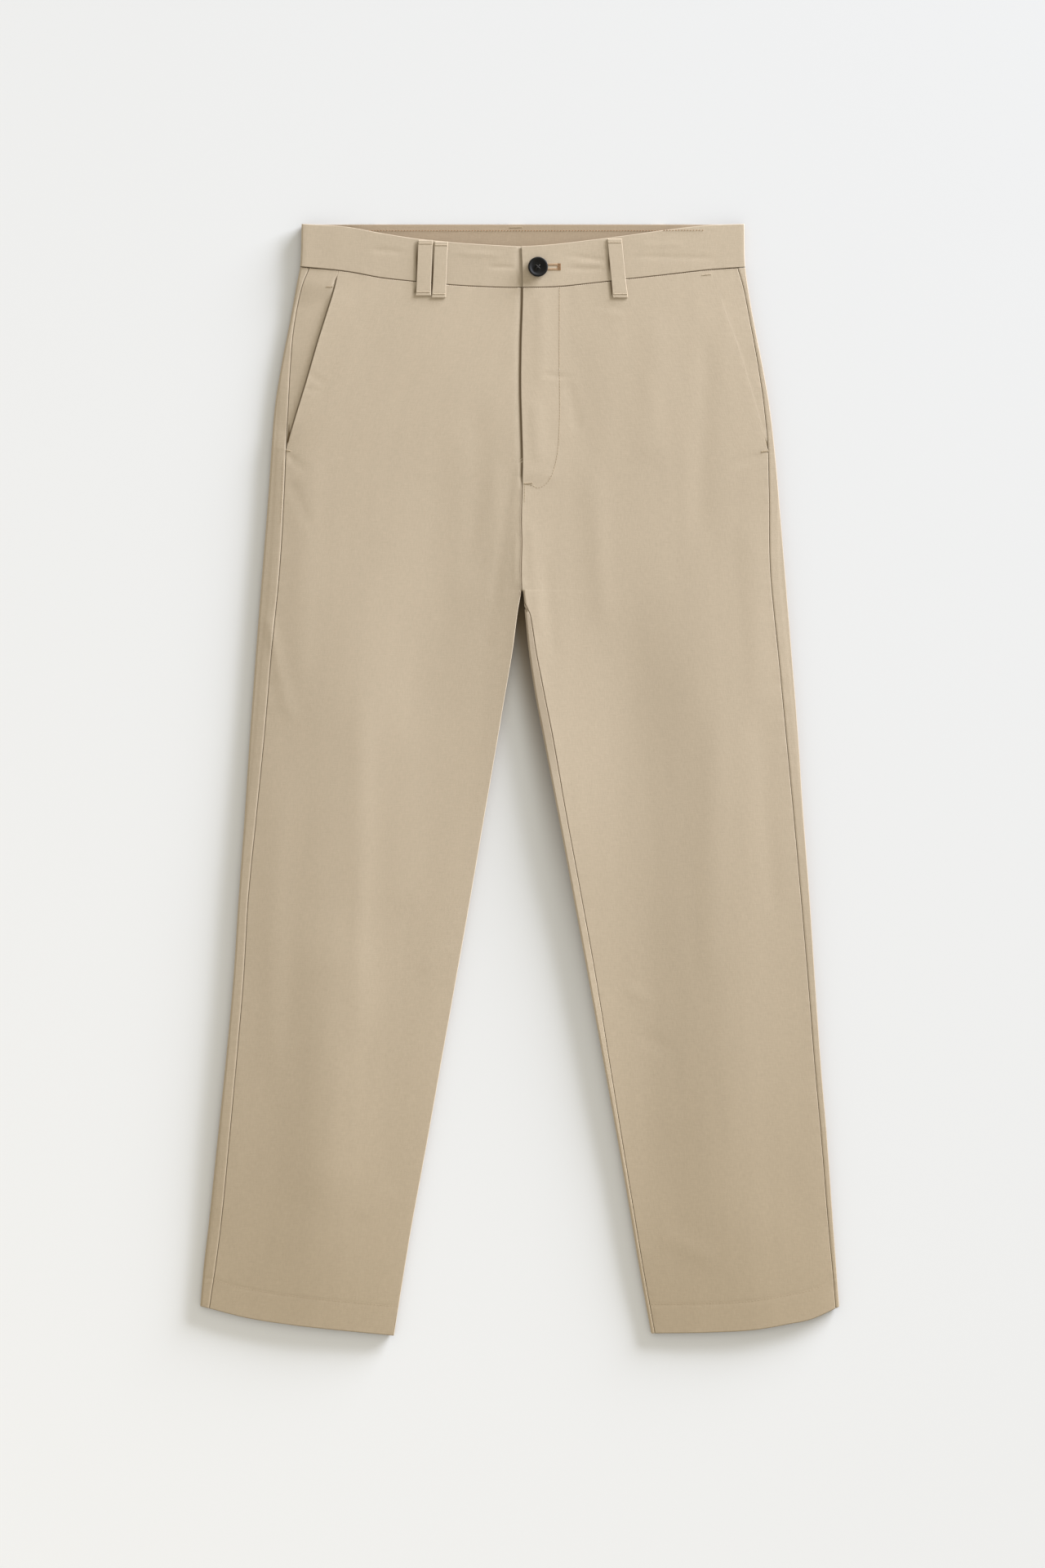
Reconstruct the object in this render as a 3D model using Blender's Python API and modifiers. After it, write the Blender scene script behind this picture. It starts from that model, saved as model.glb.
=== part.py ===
"""Chino trousers laid flat with the front upward, for Blender 4.5.

Metres, +Z up. X runs towards the wearer's left and Y from the hems to the waist. The underside rests
on z = 0, and the origin lies under the middle of the outline. "right" and "left" are the wearer's.
Each cut piece is one wall of cloth: a grid whose rows are sections across the garment, thickened
inwards. Tables hold sizes in millimetres, and `curve` reads them as metres.
"""

import math
from collections import namedtuple

import bmesh
import bpy
import numpy as np

MM = 0.001

# ---- Walls and gaps -----------------------------------------------------------------------------
CLOTH = 1.4 * MM
HEM_WALL = 1.8 * MM
BAND_WALL = 1.6 * MM
LOOP_WALL = 1.2 * MM
SHIELD_WALL = 1.0 * MM
TAPE_WALL = 1.0 * MM
SEAM_GAP = 0.3 * MM
BAND_GAP = 0.5 * MM        # the waist seam, where the outlines of band and legs turn
INSEAM_GAP = 0.55 * MM     # on the round of a fold, inside which the walls lean together
CROTCH_GAP = 1.0 * MM      # added where the four seams of the crotch meet
HEM_GAP = 0.5 * MM         # and in the hem
LAYER_GAP = 0.35 * MM      # between layers that lie on each other

# ---- Heights of the upper cloth above the floor -------------------------------------------------
PANEL_TOP = 5.6 * MM
BAND_TOP = 6.0 * MM
FLY_RISE = 0.8 * MM        # the overlapping front stands this much higher beside the fly
FLY_DIP = 1.0 * MM         # the front under it lies this much lower
BAND_RISE = 0.95 * MM      # the buttonhole end over the button end
LOOP_LIFT = 1.5 * MM       # the back waistband lies on its belt loops
LOOP_ARCH = 0.8 * MM       # a front belt loop stands off the band in the middle
MOUTH_LIFT = {"right": 0.8 * MM, "left": 0.2 * MM}

# ---- Lengths along the garment ------------------------------------------------------------------
WAIST_Y = 476 * MM         # level of the waist seam at the sides
HEM_Y = -489 * MM          # level of the hem at the side seams
CROTCH_Y = 175.8 * MM
FLY_END_Y = 278 * MM
MOUTH_END_Y = 306.5 * MM
BAND_DEPTH = 40 * MM
HEM_DEPTH = 28 * MM
UNDERLAP = 42 * MM         # waistband end that carries the button, under the other end
FRONT_UNDERLAP = 6 * MM    # right front's edge under the left one
ROLL = 3.5 * MM            # how far an edge rounds under the garment
ROUND = 3.2 * MM           # and at most on its upper side
CROTCH_ROUND = 0.45        # share of ROUND that is left in the crotch
CENTRE_BACK_X = -3.4 * MM

# ---- Over which lengths one height or line runs out into another --------------------------------
FLY_END_EASE = 16 * MM
FLY_RISE_WIDTH = 34 * MM
FLY_RISE_EASE = 30 * MM
FLY_DIP_EASE = 14 * MM
MOUTH_LOW_EASE = 60 * MM
MOUTH_HIGH_EASE = 30 * MM
MOUTH_LIFT_WIDTH = 9 * MM
BAND_RISE_EASE = 40 * MM
BAND_DIP_EASE = 18 * MM
LIFT_EASE = 17 * MM
LIFT_HALF_WIDTH = 145 * MM
LIFT_SIDE_EASE = 36 * MM
WAIST_EASE = 150 * MM
HEM_EASE = 110 * MM
CROTCH_EASE = 20 * MM
CROTCH_GAP_EASE = 10 * MM
HEM_GAP_EASE = 25 * MM
CLIMB_EASE = 22 * MM       # below the crotch the left inseam climbs from the fold on top of the leg
SEAT_EASE = 60 * MM
UNDERLAP_Y = 293 * MM      # above this level the right front runs under the left one
UNDERLAP_EASE = 6 * MM

RIGHT_ANGLE = math.pi / 2
ARC_OVER_CHORD = RIGHT_ANGLE / math.sqrt(2)      # of a quarter turn
FLAT_TOLERANCE = 1e-6
SIDES = ("right", "left")
TOWARDS_SIDE = {"right": -1, "left": 1}

# ---- Outline: the side fold and the side seam that lies on top of it ----------------------------
SideRow = namedtuple("SideRow", "y edge seam")
SIDE = {
    "right": (
        SideRow(516, -202.5, -194.0),
        SideRow(476, -204.0, -195.5),
        SideRow(460, -207.0, -201.5),
        SideRow(422, -214.0, -209.5),
        SideRow(384, -221.5, -213.0),
        SideRow(346, -227.5, -215.0),
        SideRow(308, -230.5, -217.0),
        SideRow(270, -233.0, -218.5),
        SideRow(194, -239.0, -223.0),
        SideRow(118, -245.0, -230.5),
        SideRow(42, -250.5, -237.0),
        SideRow(-34, -255.5, -244.5),
        SideRow(-110, -261.0, -252.0),
        SideRow(-186, -266.0, -256.5),
        SideRow(-262, -273.0, -263.0),
        SideRow(-338, -281.0, -270.0),
        SideRow(-414, -289.0, -277.5),
        SideRow(-452, -293.5, -282.5),
        SideRow(-489, -296.8, -288.0),
    ),
    "left": (
        SideRow(516, 208.6, 201.0),
        SideRow(476, 209.5, 202.5),
        SideRow(460, 211.5, 207.0),
        SideRow(422, 218.0, 214.6),
        SideRow(384, 225.5, 221.5),
        SideRow(346, 232.0, 227.0),
        SideRow(308, 236.5, 230.5),
        SideRow(270, 240.0, 231.5),
        SideRow(194, 246.3, 232.7),
        SideRow(156, 249.4, 236.0),
        SideRow(118, 252.5, 240.0),
        SideRow(42, 258.5, 247.3),
        SideRow(-34, 263.5, 254.5),
        SideRow(-110, 269.2, 261.3),
        SideRow(-186, 274.2, 267.8),
        SideRow(-262, 279.5, 273.8),
        SideRow(-338, 285.8, 280.6),
        SideRow(-414, 291.2, 286.8),
        SideRow(-452, 294.0, 290.4),
        SideRow(-489, 296.8, 293.6),
    ),
}

# ---- Inner edge of each leg, and how far the left back's cloth comes round it on top ------------
InnerRow = namedtuple("InnerRow", "y edge wrap")
INNER = {
    "right": (
        InnerRow(175.8, 1.8, 0),
        InnerRow(156, -1.9, 0),
        InnerRow(118, -8.0, 0),
        InnerRow(80, -14.6, 0),
        InnerRow(42, -21.0, 0),
        InnerRow(-34, -34.0, 0),
        InnerRow(-110, -47.0, 0),
        InnerRow(-186, -60.4, 0),
        InnerRow(-262, -74.0, 0),
        InnerRow(-338, -87.5, 0),
        InnerRow(-414, -101.5, 0),
        InnerRow(-452, -107.8, 0),
        InnerRow(-516, -118.0, 0),
    ),
    "left": (
        InnerRow(175.8, 2.0, 1.5),
        InnerRow(156, 4.9, 4.5),
        InnerRow(118, 9.9, 6.8),
        InnerRow(80, 15.6, 8.5),
        InnerRow(42, 22.8, 8.8),
        InnerRow(-34, 37.3, 7.6),
        InnerRow(-110, 51.5, 7.4),
        InnerRow(-186, 65.5, 7.0),
        InnerRow(-262, 79.2, 5.5),
        InnerRow(-338, 93.0, 4.0),
        InnerRow(-414, 106.0, 3.5),
        InnerRow(-452, 112.3, 3.5),
        InnerRow(-514, 123.5, 3.5),
    ),
}

# ---- Fly edge and crotch seam, and the slanting pocket mouths -----------------------------------
CentreRow = namedtuple("CentreRow", "y x")
CENTRE = (
    CentreRow(516, 0.8),
    CentreRow(457, 3.0),
    CentreRow(406, 1.7),
    CentreRow(364, 1.3),
    CentreRow(332, 2.1),
    CentreRow(295, 3.0),
    CentreRow(278, 2.6),
    CentreRow(239, 1.6),
    CentreRow(219, 2.1),
    CentreRow(198, 1.5),
    CentreRow(175.8, 1.9),
)
MouthRow = namedtuple("MouthRow", "y right left")
MOUTH = (
    MouthRow(480, -167.0, 176.2),
    MouthRow(456, -172.0, 182.6),
    MouthRow(434, -178.7, 190.2),
    MouthRow(407, -187.2, 200.2),
    MouthRow(371, -197.6, 211.3),
    MouthRow(337, -208.0, 221.2),
    MouthRow(306.5, -217.1, 230.6),
)

# ---- Waist seam and upper edge of the front waistband, and the two hems -------------------------
WaistRow = namedtuple("WaistRow", "x seam top")
WAIST = (
    WaistRow(-204, 476.3, 516.2),
    WaistRow(-160, 471.8, 513.2),
    WaistRow(-128, 466.0, 507.4),
    WaistRow(-96, 462.5, 502.4),
    WaistRow(-62, 459.3, 499.0),
    WaistRow(-22, 457.3, 496.3),
    WaistRow(2, 457.0, 495.3),
    WaistRow(36, 457.8, 497.6),
    WaistRow(63, 460.5, 500.8),
    WaistRow(96, 464.4, 504.9),
    WaistRow(132, 468.4, 510.0),
    WaistRow(175, 473.3, 514.7),
    WaistRow(209, 475.8, 516.0),
)
HemRow = namedtuple("HemRow", "x y")
HEM = {
    "right": (
        HemRow(-297, -488.9),
        HemRow(-287, -491.4),
        HemRow(-255, -499.5),
        HemRow(-210, -506.6),
        HemRow(-153, -512.8),
        HemRow(-118, -516.2),
    ),
    "left": (
        HemRow(124, -514.3),
        HemRow(176, -513.4),
        HemRow(219, -510.9),
        HemRow(250, -505.6),
        HemRow(271, -501.2),
        HemRow(297, -489.5),
    ),
}

# ---- Soft lengthwise folds of the upper cloth: a crest or a trough from one point to another ----
Fold = namedtuple("Fold", "x1 y1 x2 y2 half_width height")
FOLD_IN = 0.25             # share of its length over which a fold begins
FOLD_OUT = 0.2             # and over which it ends, half of it past its end
FOLDS = {
    "right": (
        Fold(-134, 95, -158, -430, 34, 0.8),
        Fold(-70, -20, -128, -430, 16, -0.5),
        Fold(-214, 200, -232, -400, 16, -0.4),
    ),
    "left": (
        Fold(96, -60, 142, -420, 22, -0.8),
        Fold(150, 60, 190, -430, 26, 0.8),
        Fold(36, 110, 96, -300, 14, 0.4),
    ),
}

# ---- Belt loops: where the middle of each one lies at its two ends ------------------------------
LoopRow = namedtuple("LoopRow", "name top_x bottom_x width top_drop tail")
FRONT_LOOPS = (
    LoopRow("belt_loop_front_right_outer", -87.4, -89.4, 13.4, 0.6, 12.5),
    LoopRow("belt_loop_front_right_inner", -72.6, -75.0, 12.4, 0.6, 13.0),
    LoopRow("belt_loop_front_left", 88.2, 93.6, 13.4, 2.2, 16.5),
)
BackLoopRow = namedtuple("BackLoopRow", "name x")
BACK_LOOPS = (
    BackLoopRow("belt_loop_back_right", -128),
    BackLoopRow("belt_loop_back_centre", -3.4),
    BackLoopRow("belt_loop_back_left", 128),
)
BACK_LOOP_WIDTH = 13 * MM

# ---- Fly shield and zip, measured from the fly edge ---------------------------------------------
SHIELD_Y = (FLY_END_Y - 6 * MM, 455 * MM)
SHIELD_X = (-14 * MM, 34 * MM)
SHIELD_TOP = CLOTH + LAYER_GAP + SHIELD_WALL
ZIP_Y = (FLY_END_Y + 20 * MM, 454 * MM)
ZipRow = namedtuple("ZipRow", "x rise")
ZIP = (
    ZipRow(7, 0),
    ZipRow(14, 0),
    ZipRow(15, 0.5),
    ZipRow(18, 0.5),
    ZipRow(19, 0),
    ZipRow(29, 0),
)

# ---- Button ---------------------------------------------------------------------------------------
BUTTON_X = 17.1 * MM
BUTTON_Y = 475.9 * MM
BUTTON_RADIUS = 9.25 * MM
BUTTON_THICK = 2.8 * MM
BUTTON_HOLE_RADIUS = 0.9 * MM
BUTTON_HOLE_SPACING = 3.6 * MM
BUTTON_SEGMENTS = 28
BUTTON_HOLE_SEGMENTS = 10
ProfileRow = namedtuple("ProfileRow", "radius height")
BUTTON_PROFILE = (         # shares of the button's radius and thickness, from its middle down its rim
    ProfileRow(0.0, 0.62),
    ProfileRow(0.62, 0.62),
    ProfileRow(0.74, 0.86),
    ProfileRow(0.84, 1.0),
    ProfileRow(0.93, 0.94),
    ProfileRow(1.0, 0.62),
    ProfileRow(0.97, 0.22),
    ProfileRow(0.82, 0.0),
    ProfileRow(0.0, 0.0),
)

# ---- Grids: levels of the rows below the waist seam, and counts of columns ----------------------
LEVELS = (
    476, 468, 456, 440, 420, 395, 368, 340, 318, 306.5, 299, 293, 285, 277, 264, 240, 214, 190, 179,
    175.8, 170, 158, 140, 112, 76, 36, -10, -60, -115, -175, -235, -295, -350, -400, -440, -458, -461, -489,
)
FLAT_COLUMNS = {"right": 11, "left": 11}
NEAR_INSEAM = np.array([7.5, 4.6, 2.2, 0.35, 0]) * MM     # columns by distance from the inseam
INSEAM_ZONE = 10 * MM
SIDE_TURNS = np.array([1, 0.87, 0.62, 0.32, 0, -0.33, -0.67, -1])   # in right angles
INNER_TURNS = {                                        # shares of the way up to the inseam
    "right": np.array([0.33, 0.65, 0.93, 1]),
    "left": np.array([0.16, 0.32, 0.47, 0.61, 0.74, 0.86, 0.96, 1]),
}
UNDERSIDE_STEPS = 4
SETTLING_ROUNDS = 4
FLY_ROWS = 6
SHIELD_COLUMNS = 5
FACING_COLUMNS = 6
FACING_UNDER = 24 * MM     # how far a pocket's inner piece runs under the front
FACING_BELOW = 12 * MM     # and how far below the mouth's end
FACING_LANDING = 3 * MM    # it lies at its full depth this far outside the mouth
FACING_LEAST = 0.1 * MM
FACING_NARROW = 4 * MM     # where less than this of it shows, it is sunk all over
FACING_EASE = 12 * MM
BAND_COLUMNS = 15
BAND_BACK_COLUMNS = 8
BAND_ROWS = 4
LOOP_ROWS = 10
LOOP_COLUMNS = 3
BAND_TURNS = np.array([0.75, 0.5, 0.25, 0, -0.25, -0.5, -0.75])

# Colours in linear RGB
SAND = (0.56, 0.47, 0.34)
SAND_SHADE = (0.50, 0.41, 0.29)
BUTTON_BLACK = (0.012, 0.013, 0.012)
ZIP_BEIGE = (0.42, 0.35, 0.24)


# ---- Curves through the tables ------------------------------------------------------------------
def curve(rows, along, across):
    """A smooth curve through one column of a table against another, straight beyond its ends."""
    table = sorted((getattr(row, along) * MM, getattr(row, across) * MM) for row in rows)
    known, values = np.array(table).T
    steps = np.diff(values) / np.diff(known)
    slopes = np.concatenate([steps[:1], (steps[1:] + steps[:-1]) / 2, steps[-1:]])

    def at(place):
        place = np.asarray(place, float)
        inside = np.clip(place, known[0], known[-1])
        index = np.clip(np.searchsorted(known, inside, side="right") - 1, 0, len(steps) - 1)
        width = known[index + 1] - known[index]
        t = (inside - known[index]) / width
        rise = values[index + 1] - values[index]
        value = (
            values[index]
            + rise * t * t * (3 - 2 * t)
            + width * t * (1 - t) * ((1 - t) * slopes[index] - t * slopes[index + 1])
        )
        beyond = place - inside
        return value + beyond * np.where(beyond < 0, slopes[0], slopes[-1])

    return at


def smooth(t):
    """0 below 0, 1 above 1 and an even S between."""
    t = np.clip(t, 0, 1)
    return t * t * (3 - 2 * t)


EDGE = {side: curve(SIDE[side], "y", "edge") for side in SIDES}
SEAM = {side: curve(SIDE[side], "y", "seam") for side in SIDES}
INNER_EDGE = {side: curve(INNER[side], "y", "edge") for side in SIDES}
INNER_WRAP = curve(INNER["left"], "y", "wrap")
MOUTH_X = {side: curve(MOUTH, "y", side) for side in SIDES}
CENTRE_X = curve(CENTRE, "y", "x")
SEAM_Y = curve(WAIST, "x", "seam")
BAND_EDGE_Y = curve(WAIST, "x", "top")
HEM_CURVE = {side: curve(HEM[side], "x", "y") for side in SIDES}


# ---- Heights --------------------------------------------------------------------------------------
def fold_height(side, x, y):
    """The sum of the soft crests and troughs at a point."""
    total = 0.0
    for fold in FOLDS[side]:
        start = np.array([fold.x1, fold.y1]) * MM
        end = np.array([fold.x2, fold.y2]) * MM
        length = np.linalg.norm(end - start)
        along = (end - start) / length
        across = np.array([-along[1], along[0]])
        t = ((x - start[0]) * along[0] + (y - start[1]) * along[1]) / length
        off = ((x - start[0]) * across[0] + (y - start[1]) * across[1]) / (fold.half_width * MM)
        ends = smooth(t / FOLD_IN) * smooth((1 - t) / FOLD_OUT + 0.5)
        total += fold.height * MM * np.exp(-off * off) * ends
    return total


def fly_step(side, x, y):
    """One front stands proud beside the fly, and the other dips under it."""
    above_end = smooth((y - FLY_END_Y) / FLY_END_EASE + 0.5)
    past_edge = x - CENTRE_X(y)
    if side == "left":
        return above_end * FLY_RISE * (1 - smooth((past_edge - FLY_RISE_WIDTH) / FLY_RISE_EASE))
    return -above_end * FLY_DIP * smooth(1 + past_edge / FLY_DIP_EASE)


def front_height(side, x, y):
    """Outer face of the front cloth above the floor."""
    x, y = np.asarray(x, float), np.asarray(y, float)
    return PANEL_TOP + fold_height(side, x, y) + fly_step(side, x, y)


def mouth_lift(side, x, y):
    """The front's edge stands a little open along the pocket mouth."""
    inside = (MOUTH_X[side](y) - x) * TOWARDS_SIDE[side]
    along = smooth((y - MOUTH_END_Y) / MOUTH_LOW_EASE) * smooth((WAIST_Y - y) / MOUTH_HIGH_EASE)
    return MOUTH_LIFT[side] * along * np.exp(-np.abs(inside) / MOUTH_LIFT_WIDTH)


def band_height(side, x):
    """Outer face of the front waistband: the buttonhole end lies over the button end."""
    past_end = x - CENTRE_X(WAIST_Y)
    if side == "left":
        past_underlap = past_end - UNDERLAP - 2 * MM
        return BAND_TOP + BAND_RISE * (1 - smooth(past_underlap / BAND_RISE_EASE))
    under = BAND_TOP + BAND_RISE - BAND_WALL - LAYER_GAP
    return BAND_TOP + (under - BAND_TOP) * smooth(1 + past_end / BAND_DIP_EASE)


def underside(x, y):
    """The outer face below: flat on the floor but for the back waist, which lies on its loops."""
    near_waist = smooth((y - (WAIST_Y - MM)) / LIFT_EASE + 1)
    middle = 1 - smooth((np.abs(x) - LIFT_HALF_WIDTH) / LIFT_SIDE_EASE)
    return LOOP_LIFT * near_waist * middle


# ---- Sections -------------------------------------------------------------------------------------
def settle(x_at, level, side, waist_line):
    """Bends a level row to follow the waist seam above it and the hem below it."""
    near_waist = smooth(1 - (WAIST_Y - level) / WAIST_EASE)
    near_hem = smooth(1 - (level - HEM_Y) / HEM_EASE)
    y = np.full_like(x_at(level), level)
    for _ in range(SETTLING_ROUNDS):
        x = x_at(y)
        y = (
            level
            + (waist_line(x) - WAIST_Y) * near_waist
            + (HEM_CURVE[side](x) - HEM_Y) * near_hem
        )
    return x_at(y), y


def eased(count):
    """Fractions from 0 to 1, closer together at both ends."""
    t = np.linspace(0, 1, count + 1)
    return 0.5 * t + 0.25 * (1 - np.cos(math.pi * t))


def lies_flat(angle):
    return angle > RIGHT_ANGLE - FLAT_TOLERANCE


def rolled_edge(angle, edge, inward, width, top, bottom):
    """(x, z) of a rounded edge at an angle: a right angle down on the floor, 0 at the outermost
    point, and a right angle up on the flat, where it ends at its full width."""
    above = np.where(lies_flat(angle), width, np.minimum(width, ROUND))
    reach = np.where(angle > 0, above, ROLL)
    middle = (top + bottom) / 2
    return edge + inward * reach * (1 - np.cos(angle)), middle + (top - middle) * np.sin(angle)


def in_leg(y):
    """Whether a row lies in the legs. Above the crotch the cloth runs on to the middle."""
    return np.asarray(y) < CROTCH_Y + MM


def inner_round(y):
    """How wide the inner fold rounds: tight in the crotch."""
    return ROUND * (CROTCH_ROUND + (1 - CROTCH_ROUND) * smooth((CROTCH_Y - y) / CROTCH_EASE))


def inseam(side, y):
    """(angle, x) of the inseam on the inner fold: half-way up it, or climbing on top in the left leg."""
    climb = smooth((CROTCH_Y - y) / CLIMB_EASE) if side == "left" else np.zeros_like(y)
    angle = RIGHT_ANGLE * climb
    width = inner_round(y)
    on_top = np.maximum(INNER_WRAP(y) - width, 0) * climb if side == "left" else 0
    return angle, INNER_EDGE[side](y) + TOWARDS_SIDE[side] * (width * (1 - np.cos(angle)) + on_top)


def gap_angle(y, angle, width):
    """The turn on an inner fold that half the inseam's gap takes: wider where four seams meet and
    in the thicker hem."""
    gap = INSEAM_GAP + CROTCH_GAP * smooth(1 - np.abs(y - CROTCH_Y) / CROTCH_GAP_EASE)
    gap = gap + HEM_GAP * smooth((HEM_Y + HEM_DEPTH + 7 * MM - y) / HEM_GAP_EASE)
    return gap / 2 / np.hypot(width * np.sin(angle), PANEL_TOP / 2 * np.cos(angle))


def front_row(side, level):
    """From the side seam or the pocket mouth to the fly edge or the inseam."""
    outward = TOWARDS_SIDE[side]
    across = np.concatenate([eased(FLAT_COLUMNS[side]), np.ones(len(NEAR_INSEAM))])
    to_inseam = np.concatenate([np.full(FLAT_COLUMNS[side] + 1, INSEAM_ZONE), NEAR_INSEAM])

    def section(y):
        """(x, turn) of each column, the turn being a right angle where the cloth lies flat."""
        seam = np.where(y >= MOUTH_END_Y, MOUTH_X[side](y), SEAM[side](y))
        outer = seam - outward * SEAM_GAP / 2
        width = inner_round(y)
        start, seam_x = inseam(side, y)
        quarter = np.hypot(width, PANEL_TOP / 2) * ARC_OVER_CHORD
        arc = quarter * (RIGHT_ANGLE - start) / RIGHT_ANGLE
        turned = np.clip(to_inseam / np.maximum(arc, 0.01 * MM), 0, 1)
        start = np.minimum(start + gap_angle(y, start, width), RIGHT_ANGLE)
        turn = start + (RIGHT_ANGLE - start) * turned
        on_leg = seam_x + outward * width * (np.cos(start) - np.cos(turn))
        on_leg += outward * (np.maximum(to_inseam - arc, 0) + SEAM_GAP / 2 * np.sin(start))
        on_middle = CENTRE_X(y) + outward * (SEAM_GAP / 2 + to_inseam)
        if side == "right":
            on_middle = on_middle + FRONT_UNDERLAP * smooth((y - UNDERLAP_Y) / UNDERLAP_EASE)
        inner = np.where(in_leg(y), on_leg, on_middle)
        return outer + (inner - outer) * across, np.where(in_leg(y), turn, RIGHT_ANGLE)

    x, y = settle(lambda y: section(y * np.ones(len(across)))[0], level, side, SEAM_Y)
    z = front_height(side, x, y) + mouth_lift(side, x, y)
    z -= (z - PANEL_TOP / 2) * (1 - np.sin(section(y)[1]))
    return np.column_stack([x, y, z])


def back_middle_x(side, y):
    """Edge of the back at the seat seam, which runs from the crotch to the centre back."""
    lean = (CENTRE_BACK_X - CENTRE_X(y)) * smooth((y - CROTCH_Y) / SEAT_EASE)
    return CENTRE_X(y) + lean + TOWARDS_SIDE[side] * SEAM_GAP / 2


def back_row(side, level):
    """From the side seam on top, round the side fold and along the floor to the seat seam, or on
    round the leg's inner fold to the inseam."""
    outward = TOWARDS_SIDE[side]
    wrap = 1 - INNER_TURNS[side]
    fold = np.concatenate([RIGHT_ANGLE * SIDE_TURNS, np.zeros(UNDERSIDE_STEPS + len(wrap))])
    along = np.concatenate(
        [np.zeros(len(SIDE_TURNS)), np.linspace(0, 1, UNDERSIDE_STEPS + 1)[1:], np.ones(len(wrap))]
    )
    short = np.concatenate([np.ones(len(SIDE_TURNS) + UNDERSIDE_STEPS), wrap])
    on_fold = np.arange(len(fold)) < len(SIDE_TURNS)
    wrapped = short < 1

    def section(y):
        """(x, z) of each column."""
        edge, seam = EDGE[side](y), SEAM[side](y) + outward * SEAM_GAP / 2
        floor = underside(edge, y)
        side_x, side_z = rolled_edge(
            fold, edge, -outward, np.abs(edge - seam), front_height(side, seam, y), floor
        )
        width = inner_round(y)
        end, seam_x = inseam(side, y)
        turn = end - gap_angle(y, end, width) - (end + RIGHT_ANGLE) * short
        turn = np.maximum(turn, -RIGHT_ANGLE)
        inner_x, inner_z = rolled_edge(turn, INNER_EDGE[side](y), outward, width, PANEL_TOP, 0)
        climbed = (short == 0) & lies_flat(end)
        inner_x = np.where(climbed, seam_x - outward * SEAM_GAP / 2, inner_x)
        inner_z = np.where(climbed, PANEL_TOP, inner_z)
        flat_x = back_middle_x(side, y) + outward * INSEAM_ZONE * short
        inner_x = np.where(in_leg(y), inner_x, flat_x)
        start_x = edge - outward * ROLL
        end_x = np.where(in_leg(y), INNER_EDGE[side](y) + outward * ROLL, flat_x)
        x = np.where(on_fold, side_x, np.where(wrapped, inner_x, start_x + (end_x - start_x) * along))
        flat_z = underside(x, y)
        z = np.where(on_fold, side_z, np.where(wrapped & in_leg(y), inner_z, flat_z))
        return x, z

    def waist_line(x):
        return np.where(on_fold & (fold > 0), SEAM_Y(x), WAIST_Y)

    x, y = settle(lambda y: section(y * np.ones(len(fold)))[0], level, side, waist_line)
    return np.column_stack([x, y, section(y)[1]])


def facing_row(side, level):
    """The pocket's inner piece: level with the back at the side seam, and under the front's edge."""
    outward = TOWARDS_SIDE[side]
    share = np.linspace(0, 1, FACING_COLUMNS + 1)

    def x_at(y):
        y = y * np.ones(len(share))
        mouth = outward * np.minimum(MOUTH_X[side](y) * outward, SEAM[side](y) * outward)
        seam = SEAM[side](y) - outward * SEAM_GAP / 2
        return seam + (mouth - outward * FACING_UNDER - seam) * share

    x, y = settle(x_at, level, side, SEAM_Y)
    visible = (SEAM[side](y) - MOUTH_X[side](y)) * outward
    from_seam = (SEAM[side](y) - x) * outward
    sunk = smooth(from_seam / np.maximum(visible - FACING_LANDING, FACING_LEAST))
    sunk = np.maximum(sunk, 1 - smooth((visible - FACING_NARROW) / FACING_EASE))
    z = front_height(side, x, y) - (CLOTH + LAYER_GAP) * sunk
    return np.column_stack([x, y, z])


def band_row(side, rise):
    """The waistband at one height: from its front end round the side to the centre back."""
    outward = TOWARDS_SIDE[side]
    end = CENTRE_X(WAIST_Y) + (UNDERLAP if side == "right" else 0)
    edge = EDGE[side](WAIST_Y + BAND_DEPTH * rise)
    fold_start = edge - outward * ROLL
    front_x = end + (fold_start - end) * eased(BAND_COLUMNS)
    low = SEAM_Y(front_x) + BAND_GAP
    front_y = low + (BAND_EDGE_Y(front_x) - low) * rise
    front_z = band_height(side, front_x)
    turns = RIGHT_ANGLE * BAND_TURNS
    fold_x, fold_z = rolled_edge(turns, edge, -outward, ROLL, BAND_TOP, 0)
    back_end = CENTRE_BACK_X + outward * SEAM_GAP / 2
    back_x = fold_start + (back_end - fold_start) * np.linspace(0, 1, BAND_BACK_COLUMNS + 1)
    back_y = WAIST_Y + BAND_GAP + (BAND_DEPTH - BAND_GAP) * rise
    back_z = underside(back_x, WAIST_Y)
    fold_y = front_y[-1] + (back_y - front_y[-1]) * (1 - BAND_TURNS) / 2
    return np.vstack(
        [
            np.column_stack([front_x, front_y, front_z]),
            np.column_stack([fold_x, fold_y, fold_z]),
            np.column_stack([back_x, np.full(len(back_x), back_y), back_z]),
        ]
    )


# ---- Blender objects ------------------------------------------------------------------------------
def clear_scene():
    for obj in list(bpy.data.objects):
        bpy.data.objects.remove(obj, do_unlink=True)


def material(name, colour, roughness, metallic=0.0):
    made = bpy.data.materials.new(name)
    made.use_nodes = True
    shader = made.node_tree.nodes["Principled BSDF"]
    shader.inputs["Base Color"].default_value = (*colour, 1)
    shader.inputs["Roughness"].default_value = roughness
    shader.inputs["Metallic"].default_value = metallic
    return made


def add(name, mesh, finish, collection, parent):
    obj = bpy.data.objects.new(name, mesh)
    mesh.materials.append(finish)
    mesh.shade_smooth()
    mesh.set_sharp_from_angle(angle=math.radians(40))
    collection.objects.link(obj)
    obj.parent = parent
    return obj


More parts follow.
